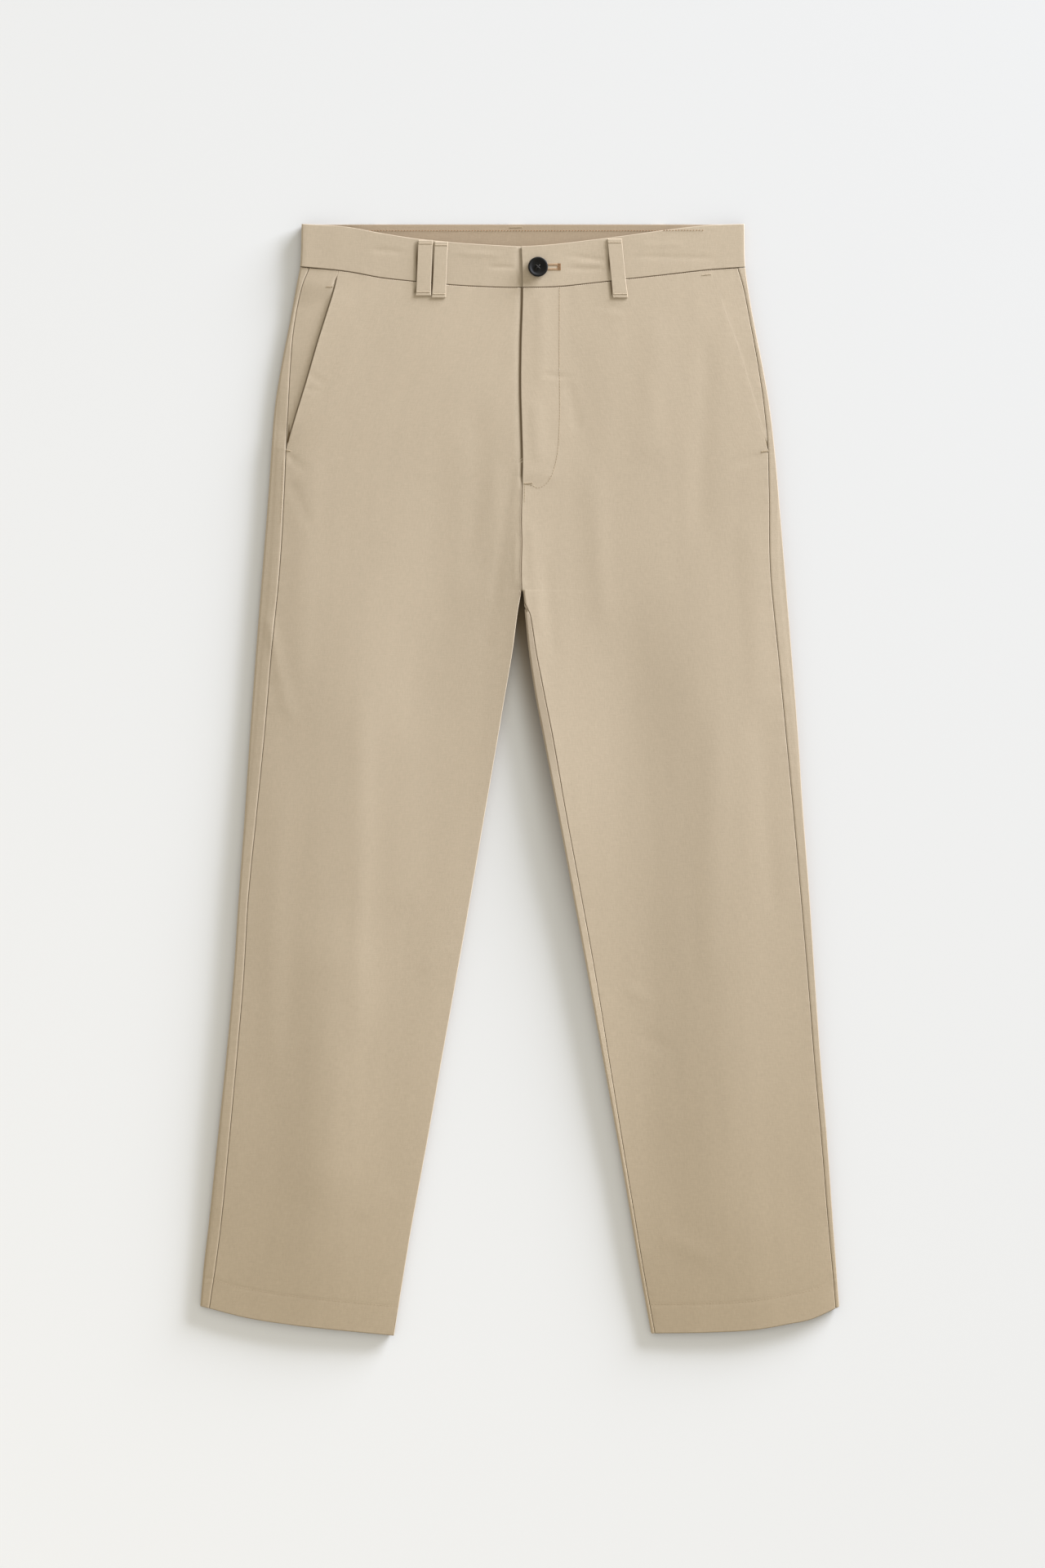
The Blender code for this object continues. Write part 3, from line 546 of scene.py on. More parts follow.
# %% Heights of fronts and waistband
CLOTH = 0.8 * MM
HEM_WALL = 1.4 * MM
BAND_WALL = 1.3 * MM
LAYER_GAP = 0.25 * MM
PANEL_TOP = 5.6 * MM
BAND_TOP = 6.0 * MM
FLY_RISE = 0.5 * MM
FLY_DIP = 0.75 * MM
FLY_END_EASE = 16 * MM
FLY_RISE_WIDTH = 6 * MM
FLY_RISE_EASE = 40 * MM
FLY_DIP_EASE = 4.5 * MM
MOUTH_STEP = {"right": 1.0 * MM, "left": 0.08 * MM}
MOUTH_STEP_EASE = 2.5 * MM
MOUTH_LIFT = {"right": 0.6 * MM, "left": 0.0}
MOUTH_LOW_EASE = 30 * MM
MOUTH_CLOSED = 12 * MM          # of its upper end, held by a tack
MOUTH_OPENS = 4 * MM            # below that
MOUTH_HIGH_EASE = 26 * MM
MOUTH_LIFT_WIDTH = 14 * MM
BAND_RISE = 0.5 * MM
BAND_RISE_EASE = 60 * MM
BAND_DIP_EASE = 5 * MM
UNDERLAP = 42 * MM


def front_height(side, x, y):
    """Outer face of the front cloth above the floor."""
    above_end = smooth((y - FLY_END_Y) / FLY_END_EASE + 0.5)
    past_edge = x - CENTRE_X(y)
    if side == "left":
        step = FLY_RISE * (1 - smooth((past_edge - FLY_RISE_WIDTH) / FLY_RISE_EASE))
    else:
        step = -FLY_DIP * smooth(1 + past_edge / FLY_DIP_EASE)
    body = PANEL_TOP + LEG_HEIGHT["body"](y) + edge_height(side, x, y) + unevenness(x, y)
    creased = crease_height(FOLDS[side] + CREASES[side], x, y)
    return body + creased + above_end * step - mouth_step(side, x, y)


def along_mouth(y):
    """1 along a pocket's mouth, easing to 0 at both its ends."""
    from_closed = WAIST_Y - MOUTH_CLOSED - y
    return smooth((y - MOUTH_END_Y) / MOUTH_LOW_EASE) * smooth(from_closed / MOUTH_HIGH_EASE)


def mouth_open(y):
    """0 where a pocket's mouth is sewn shut at its top, and 1 below that."""
    return smooth((WAIST_Y - MOUTH_CLOSED - y) / MOUTH_OPENS + 1)


def mouth_step(side, x, y):
    """How much lower everything lies outside the pocket's mouth."""
    outside = (x - MOUTH_X[side](y)) * TOWARDS_SIDE[side]
    return MOUTH_STEP[side] * along_mouth(y) * smooth(outside / MOUTH_STEP_EASE)


def mouth_lift(side, x, y):
    """How far the front stands off along the pocket's mouth."""
    inside = (MOUTH_X[side](y) - x) * TOWARDS_SIDE[side]
    return MOUTH_LIFT[side] * along_mouth(y) * np.exp(-np.abs(inside) / MOUTH_LIFT_WIDTH)


def band_height(side, x):
    """Outer face of the front waistband."""
    past_end = x - CENTRE_X(WAIST_Y)
    upper = BAND_TOP + BAND_RISE * (1 - smooth((past_end - FLY_RISE_WIDTH) / BAND_RISE_EASE))
    if side == "left":
        return upper
    under = upper - BAND_WALL - LAYER_GAP
    return BAND_TOP + (under - BAND_TOP) * smooth(1 + past_end / BAND_DIP_EASE)


left_thigh = float(front_height("left", np.array(100 * MM), np.array(0.0)))
print(f"cloth {left_thigh / MM:.1f} mm high on the left thigh")

# %% [markdown]
# ## Finishes from expressions
#
# A finish is a small network of nodes. Wiring them by hand is long to read, so `Shade` wraps one socket
# and turns +, - and * into Math nodes, or Vector Math where the socket is a vector, also when the number
# comes first, as in `1 - mask`. `Finish.node` makes every other node from its type, its settings, and the
# values or links of its sockets.

# %% Shade and Finish
class Shade:
    """A value, vector or colour of a finish. Arithmetic on it adds nodes."""

    def __init__(self, finish, socket):
        self.finish = finish
        self.socket = socket

    def math(self, operation, first, second=0.0):
        kind = "ShaderNodeVectorMath" if self.socket.type == "VECTOR" else "ShaderNodeMath"
        return self.finish.node(kind, {"operation": operation}, {0: first, 1: second})

    def __add__(self, other):
        return self.math("ADD", self, other)

    __radd__ = __add__

    def __sub__(self, other):
        return self.math("SUBTRACT", self, other)

    def __rsub__(self, other):
        return self.math("SUBTRACT", other, self)

    def __mul__(self, other):
        return self.math("MULTIPLY", self, other)

    __rmul__ = __mul__

    def sine(self):
        return self.math("SINE", self)

    def part(self, axis):
        """The X, Y or Z of a vector."""
        return self.finish.node("ShaderNodeSeparateXYZ", {}, {0: self}, axis)

    def within(self, low, high):
        """This value, stretched so that low becomes 0 and high 1, and kept between them."""
        sockets = {"Value": self, "From Min": low, "From Max": high}
        return self.finish.node("ShaderNodeMapRange", {"clamp": True}, sockets)


class Finish:
    """The nodes of a material or a world. Constants are set on the shader's own sockets."""

    def __init__(self, owner, constants, shader="Principled BSDF"):
        owner.use_nodes = True
        self.owner = owner
        self.tree = owner.node_tree
        self.shader = self.tree.nodes[shader]
        for socket, value in constants.items():
            self.shader.inputs[socket].default_value = value

    def node(self, kind, settings, sockets, output=0):
        made = self.tree.nodes.new(kind)
        for setting, value in settings.items():
            setattr(made, setting, value)
        for socket, value in sockets.items():
            self.connect(made.inputs[socket], value)
        return Shade(self, made.outputs[output])

    def connect(self, socket, value):
        if isinstance(value, Shade):
            self.tree.links.new(value.socket, socket)
        else:
            socket.default_value = value

    def feed(self, socket, value):
        """Puts a value on one of the shader's own sockets."""
        self.connect(self.shader.inputs[socket], value)

    def place(self, output="Object"):
        """Where a point lies, in its object's own measure or as a direction."""
        return self.node("ShaderNodeTexCoord", {}, {}, output)

    def attribute(self, name, output="Fac"):
        return self.node("ShaderNodeAttribute", {"attribute_name": name}, {}, output)

    def noise(self, place, scale, detail=2.0):
        return self.node("ShaderNodeTexNoise", {}, {"Vector": place, "Scale": scale, "Detail": detail})

    def mix(self, share, first, second):
        """A colour between two others."""
        return self.node("ShaderNodeMix", {"data_type": "RGBA"}, {0: share, 6: first, 7: second}, output=2)

    def bump(self, height, distance):
        self.feed("Normal", self.node("ShaderNodeBump", {}, {"Height": height, "Distance": distance}))


def tone(colour, share=1.0):
    """A colour made lighter or darker by a share, with its alpha."""
    return (*(channel * share for channel in colour), 1.0)

# %% [markdown]
# ## Twill
#
# Chino cloth is a fine cotton twill: diagonal ribs about half a millimetre apart, spun from yarns that are
# a little uneven, dyed and washed. Every piece carries two attributes that the finish reads. `grain` is the
# distance across and along the cut piece, so the ribs run with the cloth round every fold. The other holds
# painted light and shade: above 0 it paints edges and the rise beside seams paler, below 0 it paints shade
# down in the seams, and from -1 to -2 it goes over to a painted dark tone for cloth turned out of the light.
# Ribs and yarns are too fine for geometry, so they are a bump.
# Everything larger is in the shells themselves.

# %% Twill
SAND = (0.479, 0.3905, 0.2786)
# the inside: its own colour with painted shade, darker and warmer than the face
SAND_INSIDE_AND_SHADE = (0.381, 0.29, 0.193)
HEM_TONE = (0.90, 0.87, 0.80)           # how much darker and warmer the colour is made towards the hems
PAINTED_SHADE_TONE = (0.31, 0.245, 0.16)       # the painted dark tone of cloth turned out of the light
DARK_SHARE = 0.9                        # the darkest and the palest yarns, as shares of the colour
PALE_SHARE = 1.1
CLOUD = 0.2                             # how much each kind of unevenness moves the colour between these
STREAK = 0.25
YARN = 1.6
# painted light and shade moves it too, by this share
PAINTED_SHADING_WEIGHT = 0.5
HEM_DARKENING_Y = (200 * MM, -490 * MM)          # where the darkening begins, and where it is strongest
RIB_PITCH = 0.55 * MM
RIB_ACROSS = (0.53, 0.85, 0.0)          # the direction across the ribs
RIB_DEPTH = 0.03 * MM
WARP = (1500, 130, 1)                   # yarn streaks per metre across and along the piece
WEFT = (110, 1700, 1)
SLUBS = (420, 260, 1)
STREAKS = (95, 9, 1)
CLOUDS = (30, 18, 1)
Shares = namedtuple("Shares", "warp weft slub rib")
IN_TONE = Shares(0.4, 0.4, 0.3, 0.05)   # how much each shows in the tone
IN_BUMP = Shares(0.8, 0.8, 1.2, 0.5)    # and how high it stands, as a share of a rib's depth
MATT = 0.9
RUBBED = 0.08                           # how much smoother rubbed cloth is
SHEEN = {"Sheen Weight": 0.12, "Sheen Roughness": 0.45}
FULL_SHADE = 2.0                        # how far full painted shade goes below 0


def tinted(colour, shares):
    """A colour whose three channels are each multiplied by a share."""
    return tuple(channel * share for channel, share in zip(colour, shares))


def twill(name, colour):
    """Woven cotton: streaked along both yarns, ribbed, darker at the hems, with painted light and shade."""
    finish = Finish(bpy.data.materials.new(name), SHEEN)
    grain = finish.attribute("grain", "Vector")
    # painted light and shade that the pieces carry
    painted_shading = finish.attribute("painted_shading")

    def uneven(per_metre, detail):
        """Noise about 0, with so many changes per metre."""
        return finish.noise(grain * per_metre, 1.0, detail) - 0.5

    turns = grain * tuple(2 * math.pi / RIB_PITCH * step for step in RIB_ACROSS)
    rib = (turns.part("X") + turns.part("Y")).sine()
    cloud = uneven(CLOUDS, 3.0)
    streak = uneven(STREAKS, 2.0)
    warp = uneven(WARP, 1.0)
    weft = uneven(WEFT, 1.0)
    slub = uneven(SLUBS, 2.0)
    yarn = warp * IN_TONE.warp + weft * IN_TONE.weft + slub * IN_TONE.slub + rib * IN_TONE.rib
    light = (0.5 + cloud * CLOUD + streak * STREAK + yarn * YARN + painted_shading * PAINTED_SHADING_WEIGHT).within(0, 1)
    deep = tinted(colour, HEM_TONE)
    down = grain.part("Y").within(*HEM_DARKENING_Y)
    hem_darkening = down * down
    dark = finish.mix(hem_darkening, tone(colour, DARK_SHARE), tone(deep, DARK_SHARE))
    pale = finish.mix(hem_darkening, tone(colour, PALE_SHARE), tone(deep, PALE_SHARE))
    open_cloth = finish.mix(light, dark, pale)
    # where painted shade is full, the colour goes over to the painted dark tone
    folded = painted_shading.within(-1, -FULL_SHADE)
    finish.feed("Base Color", finish.mix(folded, open_cloth, tone(tinted(colour, PAINTED_SHADE_TONE))))
    finish.feed("Roughness", MATT - painted_shading.within(0, 1) * RUBBED)
    relief = rib * IN_BUMP.rib + warp * IN_BUMP.warp + weft * IN_BUMP.weft + slub * IN_BUMP.slub
    finish.bump(relief, RIB_DEPTH)
    return finish.owner


OUTSIDE = twill("sand_twill", SAND)
INSIDE = twill("sand_twill_inside", SAND_INSIDE_AND_SHADE)
print(f"twill: {len(OUTSIDE.node_tree.nodes)} nodes, ribs every {RIB_PITCH / MM:.2f} mm")

# %% [markdown]
# ## Shells of cloth
#
# Every cut piece is a grid of points on its outer face. Its rows are sections across the garment, so the
# grid follows the folds. `raised` moves the points along their normals, which is how seams sink in, and
# `run` measures along the rows or columns, as a tape laid on the cloth would.

# %% Normals and distances
TINY = 1e-12


def normals_of(form, up=True):
    """The outward normals of a grid. up says whether its first point faces up."""
    normal = np.cross(np.gradient(form, axis=1), np.gradient(form, axis=0))
    normal /= np.maximum(np.linalg.norm(normal, axis=2, keepdims=True), TINY)
    return normal if (normal[0, 0, 2] > 0) == up else -normal


def raised(form, height, up=True):
    """The grid with each point moved outwards by a height of its own."""
    return form + normals_of(form, up) * height[..., None]


def run(form, axis, backwards=False):
    """How far each point lies from the start, or the end, of its row (axis 1) or column (axis 0)."""
    steps = np.linalg.norm(np.diff(form, axis=axis), axis=2)
    total = np.concatenate([np.zeros_like(steps.take([0], axis)), np.cumsum(steps, axis)], axis)
    return total.take([-1], axis) - total if backwards else total


def from_edges(form):
    """The distances of each point from the first and last columns, and from the first and last rows."""
    return run(form, 1), run(form, 1, backwards=True), run(form, 0), run(form, 0, backwards=True)


def area_of(form):
    """The area of a grid's faces."""
    diagonals = form[1:, 1:] - form[:-1, :-1], form[1:, :-1] - form[:-1, 1:]
    return float(np.linalg.norm(np.cross(*diagonals), axis=2).sum() / 2)

# %% [markdown]
# `cloth_shell` lays a Blender grid through the points and thickens it inwards with a Solidify modifier. With
# an even offset the wall keeps its thickness on every curve, which suits all pieces but the facings, as they
# bend too sharply for it. The inside gets a finish of its own, one slot further on. In the hem, whose rows
# form a vertex group, the wall is thicker.

# %% Shells
def store(mesh, name, kind, values):
    """A value for every point of a mesh, for its finish to read."""
    field = {"FLOAT": "value", "FLOAT_VECTOR": "vector"}[kind]
    mesh.attributes.new(name, kind, "POINT").data.foreach_set(field, values.astype(np.float32).ravel())


def grid_mesh(name, form):
    """A mesh through a grid of points."""
    shape = bmesh.new()
    bmesh.ops.create_grid(shape, x_segments=form.shape[1] - 1, y_segments=form.shape[0] - 1, size=1)
    mesh = bpy.data.meshes.new(name)
    shape.to_mesh(mesh)
    shape.free()
    mesh.vertices.foreach_set("co", form.astype(np.float32).ravel())
    mesh.shade_smooth()
    return mesh


def place_piece(name, mesh):
    """An object of this mesh that rides with the trousers."""
    piece = put(name, mesh)
    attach(piece, "root")
    return piece


def cloth_shell(name, form, wall, painted_shading, hem_rows=0, up=True, even=True):
    """A piece of cloth through a grid of points, with a wall behind it."""
    flat = (float(run(form, 1).max()), float(run(form, 0).max()))
    area = area_of(form)
    grain = np.stack([run(form, 1), form[..., 1], np.zeros(form.shape[:2])], axis=-1)
    corners = [(form[low, 1] - form[low, 0], form[low + 1, 0] - form[low, 0]) for low in (0, -2)]
    if (sum(np.cross(across, along)[2] for across, along in corners) > 0) != up:
        form, grain, painted_shading = form[:, ::-1], grain[:, ::-1], painted_shading[:, ::-1]
    mesh = grid_mesh(name, form)
    store(mesh, "grain", "FLOAT_VECTOR", grain)
    store(mesh, "painted_shading", "FLOAT", painted_shading)
    mesh.materials.append(OUTSIDE)
    mesh.materials.append(INSIDE)
    piece = place_piece(name, mesh)
    thicken = piece.modifiers.new("wall", "SOLIDIFY")
    thicken.thickness = wall
    thicken.offset = -1
    thicken.use_even_offset = even
    thicken.material_offset = 1
    if hem_rows:
        turned_up = piece.vertex_groups.new(name="turned_up_hem")
        turned_up.add(list(range(hem_rows * form.shape[1])), 1.0, "ADD")
        thicken.thickness = HEM_WALL
        thicken.vertex_group = turned_up.name
        thicken.thickness_vertex_group = wall / HEM_WALL
    return piece

# %% [markdown]
# ## Seams, folded edges and puckers
#
# A seam is sewn from behind, so both cloths roll down into it and it shows as a thin dark line. The thread
# draws the cloth up, which leaves small puckers that die out within a few millimetres. A pocket mouth, a
# fly edge or a hem is folded instead: its edge is rounded too, but less deep. Each is a height that depends
# on the distance from the edge. Shade is painted down in each seam and folded edge, and a thin highlight
# is painted on the rise beside it.

# %% Seams, folded edges and puckers
SEAM_GAP = 0.2 * MM
SEAM_DEPTH = 0.5 * MM
SEAM_ROUND = 0.55 * MM
EDGE_DEPTH = 0.24 * MM
EDGE_ROUND = 0.3 * MM
# shade painted down in a seam, and a highlight painted on the rise beside it
DARK_LINE = 4.0
PALE_LINE = 0.2
PALE_WIDTH = 0.5 * MM
PUCKER_LENGTH = 7 * MM
PUCKER_HEIGHT = 0.09 * MM
PUCKER_REACH = 4.5 * MM
SMALL_PUCKERS = 0.6             # height of the smaller waves among them
SMALLER = 2.2                   # and how many times shorter they are
PUCKER_SEEDS = {"side": 21, "inner": 22, "waist": 23, "hem": 24, "band_edge": 25}
SMALL_SEED = 50                 # added for the smaller waves
HEM_PUCKERS = 0.5               # how high they are at a hem, beside a seam
NEAR_EDGE = np.array([0, 0.08, 0.22, 0.42, 0.68, 1.0, 1.5, 2.3, 3.4, 5.0, 7.2]) * MM


def rolled(distance, depth, width):
    """The drop of cloth that rolls over an edge: a quarter of an ellipse."""
    t = 1 - np.clip(distance / width, 0, 1)
    return -depth * (1 - np.sqrt(1 - t * t))


def edge_drop(distance, sewn):
    """Between a folded edge, where sewn is 0, and a seam, where it is 1."""
    seam, fold = rolled(distance, SEAM_DEPTH, SEAM_ROUND), rolled(distance, EDGE_DEPTH, EDGE_ROUND)
    return fold + (seam - fold) * sewn


def puckers(distance, along, seam):
    """Small waves across a seam, which die out away from it."""
    seed = PUCKER_SEEDS[seam]
    small = wander(seed + SMALL_SEED, PUCKER_LENGTH / SMALLER)(along)
    waves = wander(seed, PUCKER_LENGTH)(along) + SMALL_PUCKERS * small
    return PUCKER_HEIGHT * waves * np.exp(-distance / PUCKER_REACH) * smooth(distance / SEAM_ROUND)


def painted_near_edge(distance, drop):
    """Painted shade down in a seam or folded edge, and a little painted light on the rise beside it."""
    pale = PALE_LINE * bell((distance - SEAM_ROUND) / PALE_WIDTH)
    return np.clip(DARK_LINE * drop / SEAM_DEPTH, -FULL_SHADE, 0) + pale


def all_edges(drops):
    """The height, and the painted light and shade, of several edges, each given by its distance and drop."""
    return sum(drop for _, drop in drops), sum(painted_near_edge(distance, drop) for distance, drop in drops)


print(f"a seam sinks {SEAM_DEPTH / MM:.1f} mm, a folded edge {EDGE_DEPTH / MM:.1f} mm")

# %% [markdown]
# ## Sections of a leg
#
# Both edges of a leg are pressed folds: a wide quarter turn up from the floor, and a tight one on to the
# top. `over_fold` walks a distance over such a fold and says where that ends and how the cloth lies there,
# from 1 on top, over 0 at the outermost point, to -1 on the floor. So columns can be placed at will wherever
# a seam lies on the fold.

# %% Round folds
ROLL = 5 * MM                   # how far a fold rounds under the leg
Rounds = namedtuple("Rounds", "outer inner")
ROUNDS = {                      # and the radii of its upper side, where it is pressed
    "right": Rounds(1.8 * MM, 0.5 * MM),
    "left": Rounds(0.5 * MM, 1.8 * MM),
}
ROUND_CHANGE = 90 * MM          # across a leg, from one edge's radius to the other's
UNDER_EASE = 0.25               # of the lie: how fast a fold's painted shade begins under its edge
FLOOR_EASE = 0.15               # and how near the floor it ends
RIGHT_ANGLE = math.pi / 2
TURN_DOWN = math.hypot(ROLL, PANEL_TOP) * RIGHT_ANGLE / math.sqrt(2)


def over_fold(place, edge, inward, radius):
    """(x, lie) at a distance walked over a fold, from its outermost point: up where place is above 0."""
    turn_up = radius * RIGHT_ANGLE
    turned = np.where(place > 0, place / turn_up, place / TURN_DOWN)
    angle = RIGHT_ANGLE * np.clip(turned, -1, 1)
    past = np.maximum(place - turn_up, 0) + np.maximum(-place - TURN_DOWN, 0)
    across = np.where(angle > 0, radius, ROLL)
    return edge + inward * (across * (1 - np.cos(angle)) + past), np.sin(angle)


def radius_at(side, x, y):
    """The radius of the nearer fold of a leg."""
    outer, inner = ROUNDS[side]
    return outer + (inner - outer) * smooth(np.abs(x - EDGE[side](y)) / ROUND_CHANGE)


def between(lie, top, floor, radius):
    """Height of cloth that lies so, between the top and the floor."""
    outermost = top - radius
    return outermost + np.where(lie > 0, radius, outermost - floor) * lie


def turned_under(lie):
    """1 where cloth turns under at a fold, out of the light, with painted shade; 0 where it lies flat."""
    return smooth(-lie / UNDER_EASE) * smooth((1 + lie) / FLOOR_EASE)


print(f"below its edge a fold is {TURN_DOWN / MM:.1f} mm round")

# %% [markdown]
# The rows of a leg are level, but bend to follow the waist seam above and the hem below. They lie closer
# together where something happens: at the hem and its sewn edge, the crotch, the end of the pocket mouths,
# and the waist seam. The inseam is the place where front and back meet on the inner fold.

# %% Rows and the inseam
CROTCH_BLEND = 4 * MM
CROTCH_START = 0.5 * MM
CLIMB_EASE = 24 * MM
INSEAM_UNDER = 1.5 * MM
HEM_DEPTH = 28 * MM
WAIST_EASE = 150 * MM
HEM_EASE = 110 * MM
BUSY_LEVELS = (HEM_Y, HEM_Y + HEM_DEPTH, CROTCH_Y, MOUTH_END_Y, WAIST_Y)
BUSY_REACH = 14 * MM
ROW_STEPS = (2.8 * MM, 0.5 * MM)        # elsewhere, and at a busy level
SETTLING = 4                            # times that the rows are bent, each time from where they lie
LEVELS = graded(HEM_Y, WAIST_Y, *ROW_STEPS, BUSY_LEVELS, BUSY_REACH)[:, None]
HEM_ROWS = int(np.sum(LEVELS < HEM_Y + HEM_DEPTH))


def settled(section, side, levels=LEVELS):
    """(x, lie, y) of a section's rows, bent to follow the waist seam and the hem."""
    near_waist = smooth(1 - (WAIST_Y - levels) / WAIST_EASE)
    near_hem = smooth(1 - (levels - HEM_Y) / HEM_EASE)
    y = levels
    for _ in range(SETTLING):
        x, lie = section(y)
        waist = (SEAM_Y(x) - WAIST_Y) * np.clip(lie, 0, 1)
        y = levels + waist * near_waist + (HEM_CURVE[side](x) - HEM_Y) * near_hem
    return *section(y), y


def in_leg(y):
    """1 below the crotch and 0 above it, where the cloth runs on to the middle."""
    return smooth((CROTCH_Y + CROTCH_START - y) / CROTCH_BLEND)


def past_fold(side, y):
    """How far past the inner fold's outermost point the inseam lies, over the top."""
    if side == "right":
        return np.full_like(y, -INSEAM_UNDER)
    climb = smooth((CROTCH_Y - y) / CLIMB_EASE)
    radius = ROUNDS[side].inner
    return climb * (radius * RIGHT_ANGLE + INNER_WRAP(y) - radius + INSEAM_UNDER) - INSEAM_UNDER


def from_inseam(side, y, distance):
    """(x, lie) at a distance from the inseam, over the front where it is above 0, else over the back."""
    place = past_fold(side, y) + distance
    return over_fold(place, INNER_EDGE[side](y), TOWARDS_SIDE[side], ROUNDS[side].inner)


print(f"{len(LEVELS)} rows down a leg, {HEM_ROWS} of them in the hem")

# %% [markdown]
# ## The fronts
#
# A front runs from the side seam, or higher up from the pocket's mouth, to the inseam, or higher up to the
# middle. Columns near both edges lie a fraction of a millimetre apart, so that a seam can sink in smoothly,
# and the rest share what lies between.

# %% Form of a front
FRONT_WIDTH = 190 * MM
FRONT_MIDDLE = 46
INNER_ZONE = 10 * MM
NEAR_INNER = [8.6, 6.8, 5.4, 4.4, 3.8, 3.4, 3.1, 2.9, 2.7, 2.5, 2.25]
NEAR_INNER = np.array(NEAR_INNER + [2.0, 1.7, 1.4, 1.1, 0.8, 0.5, 0.25, 0.1, 0]) * MM
UNDERLAP_Y = 293 * MM
UNDERLAP_EASE = 6 * MM
FRONT_UNDERLAP = 6 * MM
even_shares = np.linspace(NEAR_EDGE[-1] / FRONT_WIDTH, 1, FRONT_MIDDLE)[1:]
FRONT_SHARES = np.concatenate([NEAR_EDGE / FRONT_WIDTH, even_shares, np.ones(len(NEAR_INNER))])
FRONT_INNER = np.concatenate([np.full(len(FRONT_SHARES) - len(NEAR_INNER), INNER_ZONE), NEAR_INNER])


def front_section(side, y):
    """(x, lie) of a front's columns."""
    outward = TOWARDS_SIDE[side]
    outer = np.where(y >= MOUTH_END_Y, MOUTH_X[side](y), SEAM[side](y)) - outward * SEAM_GAP / 2
    leg_x, lie = from_inseam(side, y, FRONT_INNER + SEAM_GAP / 2)
    middle_x = CENTRE_X(y) + outward * (SEAM_GAP / 2 + FRONT_INNER)
    if side == "right":
        middle_x = middle_x + FRONT_UNDERLAP * smooth((y - UNDERLAP_Y) / UNDERLAP_EASE)
    inner = middle_x + (leg_x - middle_x) * in_leg(y)
    return outer + (inner - outer) * FRONT_SHARES, 1 + (lie - 1) * in_leg(y)


def front_form(side):
    """The grid of a front, and how it lies."""
    x, lie, y = settled(lambda y: front_section(side, y), side)
    top = front_height(side, x, y) + mouth_lift(side, x, y)
    return np.stack([x, y, between(lie, top, 0, radius_at(side, x, y))], axis=-1), lie


print(f"{len(FRONT_SHARES)} columns across a front")

# %% [markdown]
# The left front carries the fly's curved line of stitching, which presses a shallow groove into the cloth,
# with the facing's edge just outside it. `near_line` measures how far each point of a grid lies from such a
# line. The turned-up hem is caught down at its upper edge, which shows as a faint dent right across.

# %% Grooves and dents
FLY_STITCHING = (
    Point(37.2, 458),
    Point(37.0, 400),
    Point(36.1, 310.7),
    Point(33.6, 294.7),
    Point(28.8, 280.2),
    Point(23.2, 273.4),
    Point(17.1, 270.8),
    Point(11.8, 273.1),
    Point(4.2, 274.4),
)
GROOVE_DEPTH = 0.05 * MM
GROOVE_WIDTH = 0.7 * MM
WELT_HEIGHT = 0.04 * MM
WELT_OFF = 2.2 * MM
WELT_SHARPNESS = 3
HEM_DENT = 0.06 * MM
HEM_DENT_WIDTH = 1.6 * MM
FLY_LINE_STEP = 5 * MM


def near_line(points, x, y):
    """The distance of every point of a grid from a line."""
    nearest = np.full(x.shape, np.inf)
    for start, end in zip(points[:-1], points[1:]):
        step = end - start
        t = np.clip(((x - start[0]) * step[0] + (y - start[1]) * step[1]) / (step @ step), 0, 1)
        off = np.hypot(x - start[0] - t * step[0], y - start[1] - t * step[1])
        nearest = np.minimum(nearest, off)
    return nearest


def groove(distance):
    """A sewn groove with a soft welt on both sides."""
    welt = WELT_HEIGHT * bell(distance / WELT_OFF - 1) ** WELT_SHARPNESS
    return welt - GROOVE_DEPTH * bell(distance / GROOVE_WIDTH)


def hem_dent(from_hem):
    """The dent along the upper edge of the hem."""
    return -HEM_DENT * bell((from_hem - HEM_DEPTH + MM) / HEM_DENT_WIDTH)


fly_line = line(FLY_STITCHING, FLY_LINE_STEP)
print(f"fly stitching {float(run(fly_line[:, None, :], 0)[-1, 0]) / MM:.0f} mm long")

# %% [markdown]
# Where cloth presses on cloth, light is lost. Beside each belt loop, on the side away from the lamp, runs a
# groove with shade painted in it. The table says where the loops lie: their middles above and below, their
# width, how far their upper ends stay below the waistband's edge, and how far their tails hang below the
# waist seam.

# %% Grooves of the belt loops
Loop = namedtuple("Loop", "name node top_x bottom_x width top_drop tail")
LOOPS = (
    Loop("right_outer_loop", "belt_loop_front_right_outer", -87.4, -89.4, 13.4, 0.6, 12.5),
    Loop("right_inner_loop", "belt_loop_front_right_inner", -72.6, -75.0, 12.4, 0.6, 13.0),
    Loop("left_loop", "belt_loop_front_left", 88.2, 93.6, 13.4, 2.2, 16.5),
)
LOOP_GROOVE = 0.35 * MM
LOOP_GROOVE_WIDTH = 0.95 * MM
LOOP_GROOVE_OFF = 0.5 * MM
LOOP_GROOVE_EASE = 3 * MM


def loop_span(row):
    """The side that a belt loop lies on, and the levels of its lower and upper ends."""
    middle = (row.top_x + row.bottom_x) / 2 * MM
    side = "right" if row.top_x < 0 else "left"
    return side, SEAM_Y(middle) - row.tail * MM, BAND_EDGE_Y(middle) - row.top_drop * MM


def loop_middle(row, share):
    """The x of a belt loop's middle at a share of its height."""
    return (row.bottom_x + (row.top_x - row.bottom_x) * share) * MM


def loop_groove(side, x, y):
    """1 along the belt loops' edges away from the lamp, where they press a groove and shade is painted."""
    total = 0.0
    for row in LOOPS:
        loop_side, low, high = loop_span(row)
        if loop_side == side:
            edge = loop_middle(row, (y - low) / (high - low)) - row.width / 2 * MM - LOOP_GROOVE_OFF
            ends = smooth((y - low) / LOOP_GROOVE_EASE) * smooth((high - y) / LOOP_GROOVE_EASE)
            total = total + ends * bell((x - edge) / LOOP_GROOVE_WIDTH)
    return total


for row in LOOPS:
    print(f"{row.name}: from {loop_span(row)[1]:.3f} to {loop_span(row)[2]:.3f} m")
